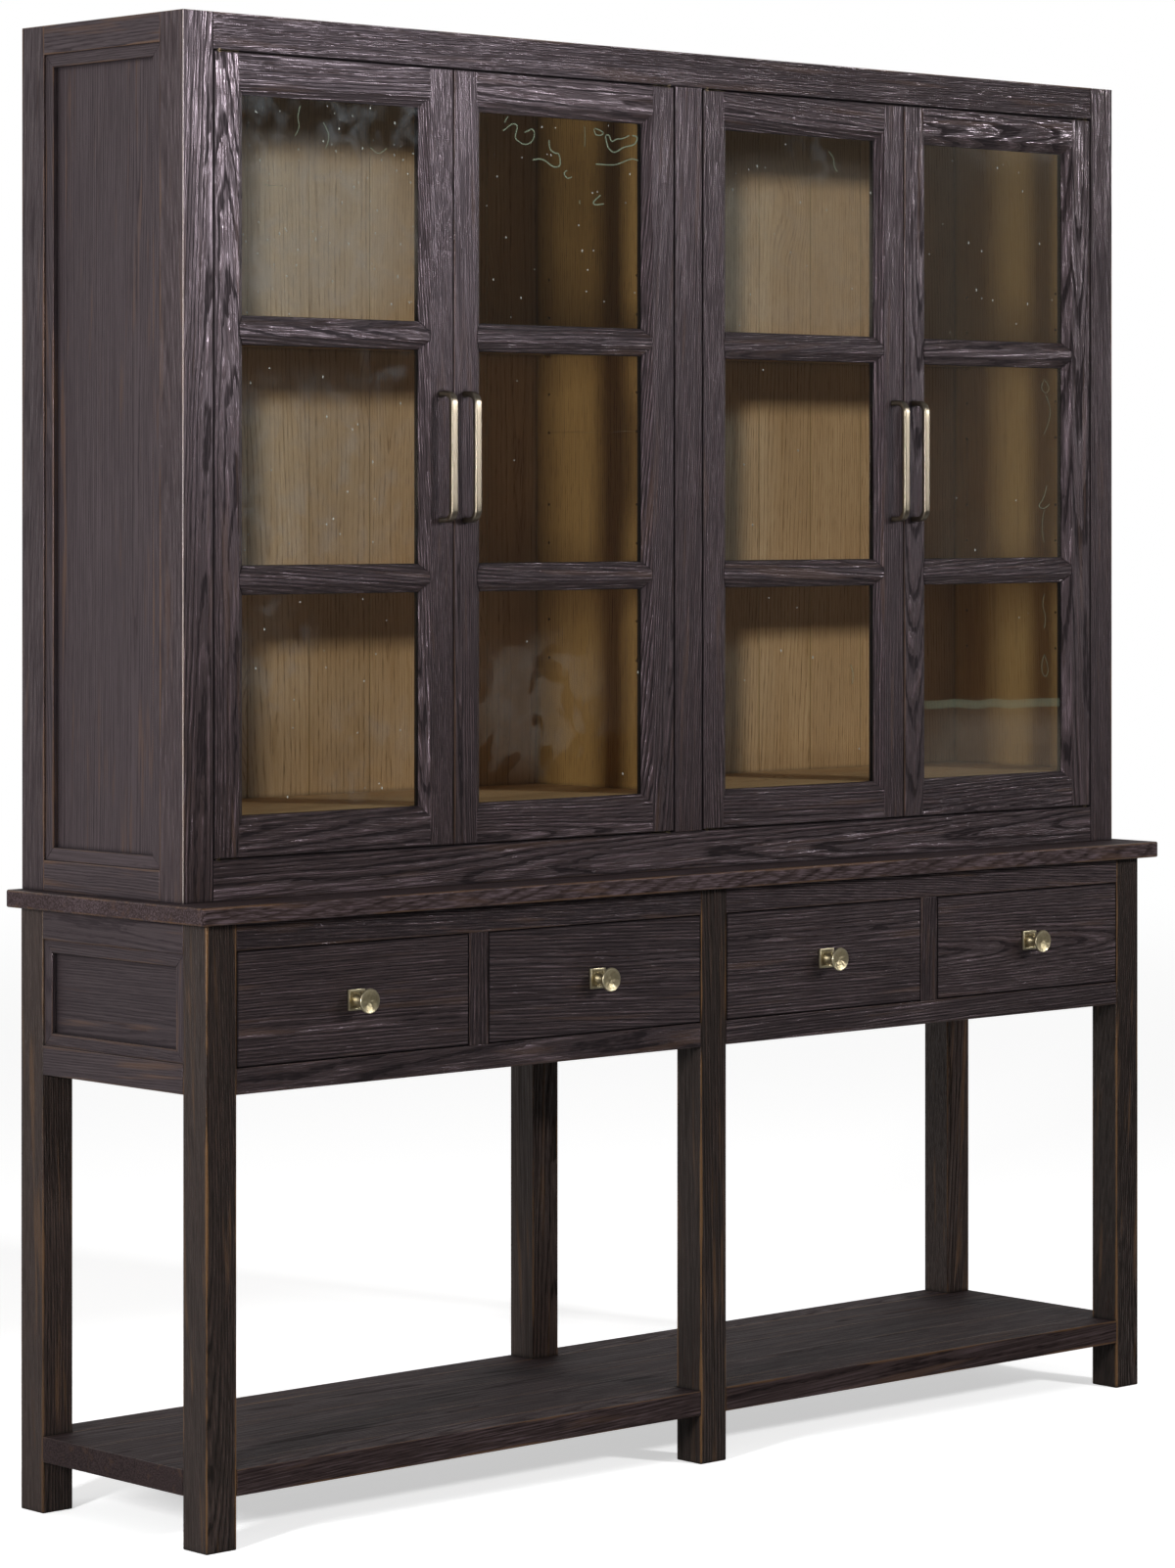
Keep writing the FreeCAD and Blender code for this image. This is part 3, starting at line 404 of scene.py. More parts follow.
    # rubbed edges: the gap to the nearest long edge of the board, broken up along its length
    fromMiddle = add("VectorMath", [own["boardAt"]], "ABSOLUTE")
    gaps = add("SeparateXYZ", [add("VectorMath", [own["boardHalf"], fromMiddle], "SUBTRACT")]).outputs
    edgeGap = add("Math", [gaps["Y"], gaps["Z"]], "MAXIMUM")
    least, most = (reach * mm for reach in values["rubReach"])
    rubReach = add("MapRange", [grain["patches"], *values["patchEdges"], least, most], "SMOOTHSTEP")
    nearEdge = add("Math", [add("Math", [edgeGap, rubReach], "DIVIDE"), -1.0, 1.0], "MULTIPLY_ADD")
    broken = add("Math", [grain["rub"], 0.9, nearEdge], "MULTIPLY_ADD")
    edgeRub = add("Math", [add("MapRange", [broken, *values["rubEdges"]], "SMOOTHSTEP"), wear], "MULTIPLY")
    patchy = add("Math", [grain["patches"], grain["rub"]], "ADD")
    rubbedArris = add("MapRange", [patchy, *values["arrisEdges"], 0.0, values["arrisRub"]], "SMOOTHSTEP")
    # the cabinet's outer corners are rubbed whatever the rest of the board is like
    arrisWear = add("MapRange", [arris, 1.0, 1.5, wear, values["cornerRub"]])
    arrisRub = add("Math", [add("Math", [arris, rubbedArris], "MULTIPLY"), arrisWear], "MULTIPLY")
    worn = add("Math", [add("Math", [edgeRub, awayFromJoint], "MULTIPLY"), arrisRub], "MAXIMUM", use_clamp=True)
    covers.append((worn, values["wornColour"]))
    # a painted glint: the long upright corners of the hutch are painted a pale silvery colour
    covers.append((add("MapRange", [arris, 1.5, 2.0, 0.0, values["paintedGlintShare"]]), values["paintedGlintColour"]))
    # stain, wax and dust gather in joints and gaps; the darkening where ambient occlusion finds a crevice is also
    # painted shade
    hidden = add("AmbientOcclusion", {"Distance": values["grimeAndShadeReach"] * mm}, samples=6).outputs["AO"]
    dustAndGapShade = add("MapRange", [hidden, *values["grimeAndShadeEdges"], values["grimeAndShade"], 0.0], "SMOOTHSTEP")
    grimeAndShade = add("Math", [dustAndGapShade, stainAndShadeOnJoint], "MAXIMUM")
    covers.append((grimeAndShade, values["grimeAndShadeColour"]))
    colour = ramp.outputs["Color"]
    for share, cover in covers:
        colour = add("Mix", {0: share, 6: colour, 7: toLinear(cover)}, "RGBA")

    # relief: grooves, pores, fibres and crests; polished away on a rubbed arris
    height = 1.0
    for part, depth in zip((ragged, pores, fibre, crest), (*values["depths"], values["crestHeight"])):
        height = add("Math", [part, depth, height], "MULTIPLY_ADD")
    polished = add("Math", [arris, values["polish"]], "MULTIPLY", use_clamp=True)
    carved = add("MapRange", [polished, 0.0, 1.0, 1.0, 0.1])
    bump = add("Bump", {"Height": height, "Strength": carved, "Distance": values["relief"] * mm})
    rough = add("MapRange", [fibre, 0.0, 1.0, values["valleyRoughness"], values["lateRoughness"]])
    for share, roughness in ((ragged, values["earlyRoughness"]), (crest, values["lateRoughness"]),
                             (polished, values["edgeRoughness"]), (grimeAndShade, 1.0)):
        rough = add("Mix", {0: share, 2: rough, 3: roughness}, "FLOAT")
    shader = add("BsdfPrincipled", {
        "Base Color": colour, "Roughness": rough, "Normal": bump, "IOR": 1.5,
        "Specular IOR Level": values["gloss"], "Specular Tint": toLinear(values["glossTint"])})
    add("OutputMaterial", [shader])
    return material


brushedDarkOak = makeOak("brushedBlackStainedOak", darkOakValues)
sandedDarkOak = makeOak("sandedBlackStainedOak", sideOakValues)
wornDarkOak = makeOak("wornBlackStainedOak", legOakValues)
rubbedDarkOak = makeOak("rubbedBlackStainedOak", topOakValues)
oiledOak = makeOak("oiledNaturalOak", naturalOakValues)
oiledWallOak = makeOak("oiledStraightOak", wallOakValues)
print("oak finishes made")

boardValues = {
    "arris": 0.8, "arrisSegments": 2,  # mm, the eased edge of a board
    "easedFrom": (40, 6),    # degrees and mm: the bluntest and the shortest edge that is eased
    "arrisWidth": 3.2,       # mm; a longer face narrower than this is an arris
    "arrisLength": 30,       # mm
    "flatAngle": 0.3,        # degrees between triangles of one flat face
    "mergeDistance": 1e-6,   # m
    "doorMiddle": 1.6,       # m, a height between the rails above and below the doors
    "pithDistance": (25, 80),  # mm from the board's middle to the trunk's middle
    "tilt": 1.7,             # degrees, grain against board
    "flatSawn": 0.3,         # share of boards with the pith behind their wide face
    "cutSpread": {"rift": 8, "flat": 14, "quarter": 18},  # degrees
    "toneSpread": 0.035, "wearSpread": (0.75, 1.1),
}
# how an arris looks: dark on the left of a joint, with dark stain and painted shade of the gap, rubbed, rubbed at an
# outer corner, and a painted glint on the sharp uprights
arrisLooks = {"joint": -1.0, "face": 0.0, "edge": 1.0, "corner": 1.5, "paintedGlint": 2.0}


def solidFaces(bm):
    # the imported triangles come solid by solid: one is whole when every edge has met its reverse
    waiting, group, groups = {}, [], []
    for face in bm.faces:
        spots = [tuple(round(c * 1e6) for c in vert.co) for vert in face.verts]
        group.append(face)
        if len(set(spots)) < 3:
            continue
        for a, b in zip(spots, spots[1:] + spots[:1]):
            if waiting.get((b, a)):
                waiting[(b, a)] -= 1
                if not waiting[(b, a)]:
                    del waiting[(b, a)]
            else:
                waiting[(a, b)] = waiting.get((a, b), 0) + 1
        if not waiting:
            groups.append(group)
            group = []
    return groups


def boundsOf(spots):
    spots = list(spots)
    return (Vector([min(spot[axis] for spot in spots) for axis in range(3)]),
            Vector([max(spot[axis] for spot in spots) for axis in range(3)]))


def easeEdges(bm, faces, width):
    bluntest, shortest = boardValues["easedFrom"]
    sharp = [edge for edge in dict.fromkeys(edge for face in faces for edge in face.edges)
             if edge.is_manifold and edge.calc_length() > shortest * 0.001
             and edge.calc_face_angle_signed() > math.radians(bluntest)]
    if sharp:
        bmesh.ops.bevel(bm, geom=sharp, offset=width, offset_type="OFFSET", segments=boardValues["arrisSegments"],
                        profile=0.5, affect="EDGES", clamp_overlap=True, material=-1)


cabinets = {
    "hutch": ("hutch_front_posts", "hutch_back_posts", "hutch_top_panel"),
    "base": ("front_legs", "back_legs"),
}
cabinets = {name: boundsOf(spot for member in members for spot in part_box(member))
            for name, members in cabinets.items()}


def jointLines(joint, low, high, nodeBox):
    # the lines, across and upwards, where a piece meets a moving one: middle and half the gap between them
    nowhere = (9.0, 0.0)
    if joint == "inner":  # the fixed frame round the doors
        if high.x - low.x > high.z - low.z:
            return nowhere, (low.z if low.z > boardValues["doorMiddle"] else high.z, 0.0)
        if low.x < 0 < high.x:
            return ((low.x + high.x) / 2, (high.x - low.x) / 2), nowhere
        return (high.x if high.x < 0 else low.x, 0.0), nowhere
    if joint:
        low, high = nodeBox
        across = (high.x, 0.0) if joint == "right" else ((low.x + high.x) / 2, (high.x - low.x) / 2)
        return across, ((low.z + high.z) / 2, (high.z - low.z) / 2)
    return nowhere, nowhere


def trunkAngle(chance, cut):
    # the direction of the pith round the board's own length
    spread = boardValues["cutSpread"]
    side = chance.choice((-1, 1))
    if cut == "rift":  # straight grain on both faces of a post
        return math.radians(chance.choice((45, 135, 225, 315)) + chance.gauss(0, spread["rift"]))
    if chance.random() < boardValues["flatSawn"]:
        return math.radians(90 * side + chance.gauss(0, spread["flat"]))
    return math.radians(chance.choice((0, 180)) + chance.gauss(0, spread["quarter"]))


def arrisLook(face, cabinet, joint, nodeLow):
    longest = max(edge.calc_length() for edge in face.edges)
    face.smooth = face.calc_area() / longest < boardValues["arrisWidth"] * 0.001
    if not face.smooth or longest <= boardValues["arrisLength"] * 0.001:
        return arrisLooks["face"]
    if cabinet:
        low, high = cabinets[cabinet]
        touched = sum(all(abs(vert.co[axis] - side[axis]) < 0.005 for vert in face.verts)
                      for side, axis in ((low, 0), (high, 0), (low, 1), (high, 2)))
        if touched > 1:
            upright = abs(face.normal.z) < 0.1 and longest > 1.0
            # the long upright corners of the hutch get the painted glint
            return arrisLooks["paintedGlint" if cabinet == "hutch" and upright else "corner"]
    leftSide = joint == "all" and min(vert.co.x for vert in face.verts) < nodeLow + 0.002
    # a left arris beside a gap gets dark stain and painted shade of the gap
    return arrisLooks["joint" if face.normal.x < -0.3 and (joint == "inner" or leftSide) else "edge"]


def growBoards(node, material, slotName, tone=0.0, wear=1.0, ringScale=(0.85, 1.3), railScale=None,
               arris=boardValues["arris"], pith=boardValues["pithDistance"], railPith=None, cut=None,
               cabinet=None, joint=None):
    # one timber piece per solid, each with its own place in a trunk
    chance = random.Random(node)
    bm = bmesh.new()
    bm.from_mesh(nodes[node].data)
    own = bm.verts.layers.float_vector
    for layerName in ("logAt", "boardAt", "boardHalf", "boardLook", "jointAt", "jointHalf"):
        own.new(layerName)
    arrisLayer = bm.faces.layers.float.new("arris")
    belongs = bm.faces.layers.int.new("solid")
    groups = solidFaces(bm)
    boards = range(len(groups))

    def partsOf(board):
        faces = [face for face in bm.faces if face[belongs] == board]
        return faces, list(dict.fromkeys(vert for face in faces for vert in face.verts))

    for board, group in enumerate(groups):
        for face in group:
            face[belongs] = board
    for board in boards:
        bmesh.ops.remove_doubles(bm, verts=partsOf(board)[1], dist=boardValues["mergeDistance"])
    for board in boards:
        faces, verts = partsOf(board)
        bmesh.ops.dissolve_limit(bm, angle_limit=math.radians(boardValues["flatAngle"]), verts=verts,
                                 edges=list(dict.fromkeys(edge for face in faces for edge in face.edges)))
        if arris:
            easeEdges(bm, partsOf(board)[0], arris * 0.001)
    bmesh.ops.dissolve_degenerate(bm, edges=bm.edges[:], dist=boardValues["mergeDistance"])
    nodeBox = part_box(node)
    for board in boards:
        faces, verts = partsOf(board)
        low, high = boundsOf(vert.co for vert in verts)
        middle, half = (low + high) / 2, (high - low) / 2
        order = sorted(range(3), key=lambda axis: -half[axis])
        level = order[0] == 0  # a board that runs from left to right
        reach = chance.uniform(*((level and railPith) or pith)) * 0.001
        angle = trunkAngle(chance, cut)
        tilt = Matrix.Rotation(math.radians(chance.gauss(0, boardValues["tilt"])), 3, "Y") @ Matrix.Rotation(
            math.radians(chance.gauss(0, boardValues["tilt"])), 3, "Z")
        away = Vector((chance.uniform(-6, 6), math.cos(angle) * reach, math.sin(angle) * reach))
        scale = chance.uniform(*((level and railScale) or ringScale))
        shade = tone + chance.gauss(0, boardValues["toneSpread"])
        across, upwards = jointLines(joint, low, high, nodeBox)
        shared = {
            "boardHalf": [half[axis] for axis in order],
            "boardLook": (shade, wear * chance.uniform(*boardValues["wearSpread"]), scale),
            "jointAt": (across[0], 0.0, upwards[0]), "jointHalf": (across[1], 0.0, upwards[1]),
        }
        for vert in verts:
            at = Vector([(vert.co - middle)[axis] for axis in order])
            vert[own["boardAt"]] = at
            vert[own["logAt"]] = tilt @ at + away
            for layerName, value in shared.items():
                vert[own[layerName]] = value
        for face in faces:
            face[arrisLayer] = arrisLook(face, cabinet, joint, nodeBox[0].x)
    finishPiece(node + "_timber", bm, material, node)
    print("  boards of", node, len(groups))


darkNodes = {
    "base_front_rails": dict(tone=-0.05, wear=0.12, pith=(60, 110)),
    "drawer_dividers": dict(tone=-0.05, wear=0.12, cut="rift", pith=(40, 80)),
    "hutch_front_posts": dict(ringScale=(0.8, 1.0), wear=0.6, cabinet="hutch", cut="rift", arris=1.5, joint="inner"),
    "hutch_front_frame": dict(ringScale=(0.8, 1.1), tone=0.03, wear=0.25, cabinet="hutch", arris=1.5, joint="inner"),
    "hutch_top_panel": dict(wear=0.4, cabinet="hutch"), "hutch_back_posts": dict(wear=0.6, cabinet="hutch"),
    "hutch_back_rails": dict(wear=0.3), "base_back_frame": dict(tone=-0.06, wear=0.3),
}
innerNodes = {
    # the hutch floor's raised tone is painted light: its top is made lighter to stand for the light that falls on it
    "hutch_back_boards": dict(ringScale=(0.8, 1.6), pith=(15, 80)), "hutch_shelves": {}, "hutch_floor": dict(tone=0.3),
    "base_partitions": {}, "drawer_runners": {}, "drawer_kickers": {}, "drawer_guides_and_stops": {},
}
for number in range(1, 5):
    darkNodes["door_%d_frame" % number] = dict(
        ringScale=(0.8, 1.1), railScale=(0.9, 1.2), railPith=(10, 30), tone=0.02, wear=0.35, arris=1.5,
        joint="all" if number in (1, 3) else "right")
    darkNodes["drawer_%d_front" % number] = dict(ringScale=(0.8, 1.2), pith=(10, 60), tone=-0.05, wear=0.06,
                                                 joint="all")
    innerNodes["drawer_%d_box" % number] = {}
darkNodes["drawer_4_front"]["tone"] = 0.08
darkNodes["door_1_frame"].update(railScale=(1.2, 1.6), railPith=(28, 60))
timber = (
    (brushedDarkOak, "dark_oak", darkNodes),
    (wornDarkOak, "dark_oak", {
        "front_legs": dict(tone=-0.08, wear=0.9, cut="rift", pith=(40, 80), cabinet="base"),
        "back_legs": dict(tone=0.08, wear=0.5, cut="rift", pith=(40, 80))}),
    (sandedDarkOak, "dark_oak", {
        "base_side_rails": dict(tone=-0.18, wear=0.3), "base_side_mouldings": dict(tone=-0.18, wear=0.3),
        "base_side_panels": dict(tone=-0.28, wear=0.0, arris=0),
        "hutch_side_rails": dict(tone=-0.02, wear=0.5, cabinet="hutch"),
        "hutch_side_mouldings": dict(tone=-0.02, wear=0.4), "hutch_side_panels": dict(wear=0.0, arris=0)}),
    (rubbedDarkOak, "dark_oak", {
        "countertop": dict(arris=0, tone=0.14, wear=0.6, pith=(90, 130)),
        "lower_shelf_boards": dict(wear=0.25, tone=-0.04), "lower_shelf_rails": dict(wear=0.5, pith=(60, 110))}),
    (oiledWallOak, "natural_oak", {
        # painted light: the liners' raised tone stands for the side light that reaches them, and the partition's
        # lowered tone makes it a darker copy of the same oak
        "hutch_side_liners": dict(arris=0, ringScale=(0.6, 0.7), pith=(22, 95), tone=0.3),
        "hutch_partition": dict(arris=0, ringScale=(0.6, 0.7), pith=(22, 95), tone=-0.12)}),
    (oiledOak, "natural_oak", innerNodes),
)
for material, slotName, chosen in timber:
    for node, how in chosen.items():
        growBoards(node, material, slotName, **how)
print("timber pieces made")


# Cast brass with an antique finish: pale where hands rub it, brown in the hollows, softly uneven.
agedBrassValues = {
    "rubbed": "#80776a", "plain": "#7a705c", "patina": "#544a3a",
    "roughness": (0.32, 0.42), "mottle": 12.0,  # mm across a blotch
    "mottleShare": 0.45, "hammer": 0.008,  # mm
}
# The knobs are the same casting, handled less and beaten more, so paler and rougher.
knobBrassValues = dict(agedBrassValues, rubbed="#d2c6a6", plain="#ab9d7b", patina="#4d4231",
                       roughness=(0.36, 0.5), mottle=6.0, mottleShare=0.7, hammer=0.03)
# The hinge plates are a darker copy of the same brass.
hingeBrassValues = dict(agedBrassValues, rubbed="#6f644e", plain="#4f4536", patina="#2b251d", roughness=(0.45, 0.65))
# Turned brass pins: brighter and yellower, with a fine soft mottle.
pinBrassValues = {"rubbed": "#d8bd7c", "plain": "#c4a765", "patina": "#8a6f3c", "roughness": (0.2, 0.35),
                  "mottle": 4.0, "mottleShare": 0.9, "hammer": 0.02}
# Zinc-plated steel catches: cool grey, slightly cloudy.
catchSteelValues = {"rubbed": "#b9bcc0", "plain": "#9ea2a6", "patina": "#74787c", "roughness": (0.3, 0.45),
                    "mottle": 6.0, "mottleShare": 0.9, "hammer": 0.02}
metalValues = {  # common to all the metals
    "dimples": 0.6,    # dimple size against the mottle
    "middle": 0.43, "rubShare": 0.6, "stops": (0.22, 0.48, 0.95), "roughFrom": (0.2, 0.9),
}


def makeMetal(name, values):
    material, add = newMaterial(name)
    place = add("TexCoord").outputs["Object"]
    mottle = add("TexNoise", {"Vector": place, "Scale": 1000 / values["mottle"], "Detail": 3.0, "Roughness": 0.6})
    dimpleScale = 1000 / (values["mottle"] * metalValues["dimples"])
    dimple = add("TexNoise", {"Vector": place, "Scale": dimpleScale, "Detail": 1.0})
    rubbed = add("Attribute", attribute_name="rubbed").outputs["Fac"]
    lowest = metalValues["middle"] - values["mottleShare"] / 2
    level = add("Math", [mottle, values["mottleShare"], lowest], "MULTIPLY_ADD")
    raised = add("Math", [rubbed, metalValues["rubShare"], level], "MULTIPLY_ADD")
    ramp = add("ValToRGB", [raised])
    fillRamp(ramp, zip(metalValues["stops"], (values["patina"], values["plain"], values["rubbed"])))
    polished, dull = values["roughness"]
    rough = add("MapRange", [raised, *metalValues["roughFrom"], dull, polished])
    bump = add("Bump", {"Height": dimple, "Strength": 1.0, "Distance": values["hammer"] * 0.001})
    shader = add("BsdfPrincipled", {"Base Color": ramp, "Metallic": 1.0, "Roughness": rough, "Normal": bump})
    add("OutputMaterial", [shader])
    return material


agedBrass = makeMetal("antiqueCastBrass", agedBrassValues)
castBrass = makeMetal("beatenCastBrass", knobBrassValues)
darkenedBrass = makeMetal("darkenedHingeBrass", hingeBrassValues)
turnedBrass = makeMetal("turnedPinBrass", pinBrassValues)
platedSteel = makeMetal("zincPlatedSteel", catchSteelValues)

knobValues = {  # mm
    "radius": 19.0, "projection": 35.0, "foot": 4.0, "roseHalf": 16.0, "roseThick": 4.0, "roseRim": 3.4,
    "roseTray": 1.5, "dishDepth": 3.4, "rim": 2.2, "steps": 48,
    "boltRadius": 2.4, "headRadius": 5.5, "headThick": 2.5, "frontThick": 22.0, "sharpFrom": 38,
}


def spunAbout(bm, profile, x, z, face, steps):
    # profile is (radius, distance out of the face) in mm, turned about an axis that stands on the face
    verts = [bm.verts.new((x + radius * 0.001, face - out * 0.001, z)) for radius, out in profile]
    edges = [bm.edges.new(pair) for pair in zip(verts, verts[1:])]
    bmesh.ops.spin(bm, geom=verts + edges, cent=(x, face, z), axis=(0, 1, 0), angle=2 * math.pi,
                   steps=steps, use_merge=True, use_duplicate=False)


def standGrid(bm, centre, wide, high, cells):
    # a flat grid in the plane of the doors
    return bmesh.ops.create_grid(
        bm, x_segments=cells, y_segments=cells, size=0.5, matrix=Matrix.Translation(centre)
        @ Matrix.Rotation(math.radians(90), 4, "X") @ Matrix.Diagonal((wide, high, 1, 1)))["verts"]


def closeMesh(bm):
    bmesh.ops.remove_doubles(bm, verts=bm.verts, dist=1e-6)
    bmesh.ops.recalc_face_normals(bm, faces=bm.faces)


def makeKnob(number, values):
    node = "drawer_%d_knob" % number
    low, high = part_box(node)
    x, z = (low.x + high.x) / 2, (low.z + high.z) / 2
    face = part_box("drawer_%d_front" % number)[0].y
    out, radius, foot = values["projection"], values["radius"], values["foot"]
    hollow = radius - values["rim"]
    bm = bmesh.new()
    rubbed = bm.verts.layers.float.new("rubbed")
    dish = [(hollow * k / 8, out - values["dishDepth"] * (1 - (k / 8) ** 2)) for k in range(8)]
    spunAbout(bm, dish + [
        (hollow, out - 0.25), (hollow + 0.4, out), (radius - 0.7, out), (radius - 0.15, out - 0.5),
        (radius, out - 1.3), (radius - 0.1, out - 3.2), (radius - 1.2, out - 4.6), (radius - 5, out - 6.2),
        (9.6, out - 7.8), (7.4, out - 10), (6.3, out - 13), (6.0, out - 17), (6.4, out - 21), (7.4, out - 24),
        (9.0, out - 27), (9.4, out - 29), (9.4, foot - 1.5), (0, foot - 1.5)], x, z, face, values["steps"])
    bmesh.ops.remove_doubles(bm, verts=bm.verts, dist=1e-6)
    for vert in bm.verts:
        away = math.hypot(vert.co.x - x, vert.co.z - z) * 1000
        reach = (face - vert.co.y) * 1000
        if reach > out - 4 and away < hollow - 0.2:
            # the dish is beaten, not turned true
            vert.co.y += 0.0007 * noise.noise(Vector((vert.co.x, number * 0.1, vert.co.z)) * 230)
            vert[rubbed] = 0.4 if away < hollow - 1.2 else 0.05
        else:
            vert[rubbed] = 0.95 if reach > out - 2 else 0.25
    # square rose: a tray with a raised rim
    half, thick = values["roseHalf"] * 0.001, values["roseThick"] * 0.001
    rose = bmesh.ops.create_cube(bm, size=1.0, matrix=Matrix.Translation((x, face - thick / 2, z))
                                 @ Matrix.Diagonal((half * 2, thick, half * 2, 1)))["verts"]
    front = next(side for vert in rose for side in vert.link_faces if side.normal.y < -0.9)
    inset = bmesh.ops.inset_individual(bm, faces=[front], thickness=values["roseRim"] * 0.001, use_even_offset=True)
    deeper = bmesh.ops.inset_individual(bm, faces=[front], thickness=0.0006, use_even_offset=True)
    bmesh.ops.translate(bm, verts=front.verts, vec=(0, values["roseTray"] * 0.001, 0))
    sides = [side for vert in rose for side in vert.link_faces] + inset["faces"] + deeper["faces"] + [front]
    edges = [edge for edge in dict.fromkeys(edge for side in dict.fromkeys(sides) for edge in side.edges)
             if edge.is_manifold and edge.calc_face_angle(0) > math.radians(30) and edge not in front.edges]
    bmesh.ops.bevel(bm, geom=edges, offset=0.0005, segments=2, profile=0.5, affect="EDGES",
                    clamp_overlap=True, material=-1)
    rimFrom = half - 0.0036
    for vert in bm.verts:
        if max(abs(vert.co.x - x), abs(vert.co.z - z)) > rimFrom and vert.co.y > face - thick - 0.0001:
            vert[rubbed] = 1.1
    # bolt from inside the drawer
    inside = -values["frontThick"]
    headEnd, headRadius, boltRadius = inside - values["headThick"], values["headRadius"], values["boltRadius"]
    spunAbout(bm, [(0, headEnd), (headRadius - 0.6, headEnd), (headRadius, headEnd + 0.7), (headRadius, inside),
                   (boltRadius, inside), (boltRadius, foot - 1), (0, foot - 1)], x, z, face, 20)
    closeMesh(bm)
    finishPiece(node + "_cast", bm, castBrass, node, smooth=True, sharpFrom=values["sharpFrom"])


pullValues = {  # mm
    "width": 12.5, "thick": 8.5, "projection": 32.5, "corner": 20.0, "edge": 2.2, "length": 205.0,
    "screwRadius": 2.0, "headRadius": 4.0, "headThick": 1.8, "screwReach": 6, "sharpFrom": 50,
}


def makePull(number, values):
    node = "door_%d_pull" % number
    low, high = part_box(node)
    x, bottom = (low.x + high.x) / 2, low.z
    frameLow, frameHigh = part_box("door_%d_frame" % number)
    face, back = frameLow.y, frameHigh.y
    corner, thick, width, out, length = (
        values[name] * 0.001 for name in ("corner", "thick", "width", "projection", "length"))
    bm = bmesh.new()
    rubbed = bm.verts.layers.float.new("rubbed")
    # the bar's section stands on the stile and is drawn out, bent up, and bent back
    corners = standGrid(bm, (x, face, bottom + thick / 2), width, thick, 1)
    bmesh.ops.bevel(bm, geom=corners, offset=values["edge"] * 0.001, segments=4, profile=0.5,
                    affect="VERTICES", clamp_overlap=True, material=-1)

    def drawOut(end, move, cuts):
        for _ in range(cuts):
            grown = bmesh.ops.extrude_face_region(bm, geom=end)["geom"]
            end = [made for made in grown if isinstance(made, bmesh.types.BMFace)]
            verts = [made for made in grown if isinstance(made, bmesh.types.BMVert)]
            bmesh.ops.translate(bm, verts=verts, vec=Vector(move) / cuts)
        return end

    def bend(end, height):
        turned = bmesh.ops.spin(bm, geom=end, cent=(x, face - out + corner, height), axis=(1, 0, 0),
                                angle=-math.pi / 2, steps=10, use_merge=False, use_duplicate=False)["geom_last"]
        return [made for made in turned if isinstance(made, bmesh.types.BMFace)]

    run = length - 2 * corner
    end = drawOut(bm.faces[:], (0, corner - out, 0), 2)
    end = bend(end, bottom + corner)
    end = drawOut(end, (0, 0, run), 12)
    end = bend(end, bottom + corner + run)
    drawOut(end, (0, out - corner, 0), 2)
    bmesh.ops.remove_doubles(bm, verts=bm.verts, dist=1e-6)
    inner = [side for side in bm.faces if all(len(edge.link_faces) > 2 for edge in side.edges)]
    bmesh.ops.delete(bm, geom=inner, context="FACES_ONLY")
    for vert in bm.verts:
        nearEdge = abs(abs(vert.co.x - x) - width / 2) < 0.0024
        vert[rubbed] = (0.75 if nearEdge else 0.5) + 0.15 * noise.noise(vert.co * 40)
        if vert.co.y > face - 0.012:
            vert[rubbed] *= 0.4
    # a screw from behind into each foot
    inside, headRadius, screwRadius = (face - back) * 1000, values["headRadius"], values["screwRadius"]
    headEnd, tip = inside - values["headThick"], values["screwReach"]
    for z in (bottom + thick / 2, bottom + length - thick / 2):
        spunAbout(bm, [(0, headEnd), (headRadius * 0.6, headEnd), (headRadius, inside), (screwRadius, inside),
                       (screwRadius, tip), (0, tip)], x, z, face, 16)
    closeMesh(bm)
    finishPiece(node + "_bar", bm, agedBrass, node, smooth=True, sharpFrom=values["sharpFrom"])


for number in range(1, 5):
    makeKnob(number, knobValues)
    makePull(number, pullValues)
for material, plainNodes in (
        (darkenedBrass, ["door_%d_hinge_leaves" % number for number in range(1, 5)] + ["hinge_case_leaves"]),
        (turnedBrass, ["shelf_pins"]), (platedSteel, ["door_catches"])):
    for node in plainNodes:
        for slot in nodes[node].material_slots:
            slot.material = material
print("metalwork made")


# Mouth-blown sheet: nearly clear, a little wavy, with air seeds, drawn threads and cloudy patches; its bluish haze and
# grey veil are painted reflection.
glassValues = {
    "waves": (14.0, 0.0003),  # per metre, and their depth in m
    "gloss": 0.03, "headOn": 0.04, "slantPower": 5.0,
    "clouds": {"Scale": 26.0, "Detail": 3.0, "Distortion": 0.6}, "cloudy": (0.42, 0.72, 0.0, 0.25),
    "islands": {"Scale": 13.0, "Detail": 2.0, "Distortion": 0.5}, "island": (0.45, 0.465, 0.0, 0.09),
    "uneven": (0.3, 0.7, 0.75, 1.0), "flawEdge": 2.5,
    "cells": 26, "wave": 0.35, "rebate": 9,  # mm; the rebate holds the edge of each pane
    # the haze and veil colours are painted reflection
    "tint": "#f3f4ee", "reflectionHaze": "#8f969e", "reflectionVeil": "#8e857b", "thread": "#8f9b8b", "putty": "#2a2320",
    "seeds": {1: 110, 2: 30, 3: 30, 4: 22}, "seedsInTop": 0.6, "seedMargin": 12, "seedRadius": (0.7, 1.5),  # mm
    "sharpFrom": 40,  # degrees
}
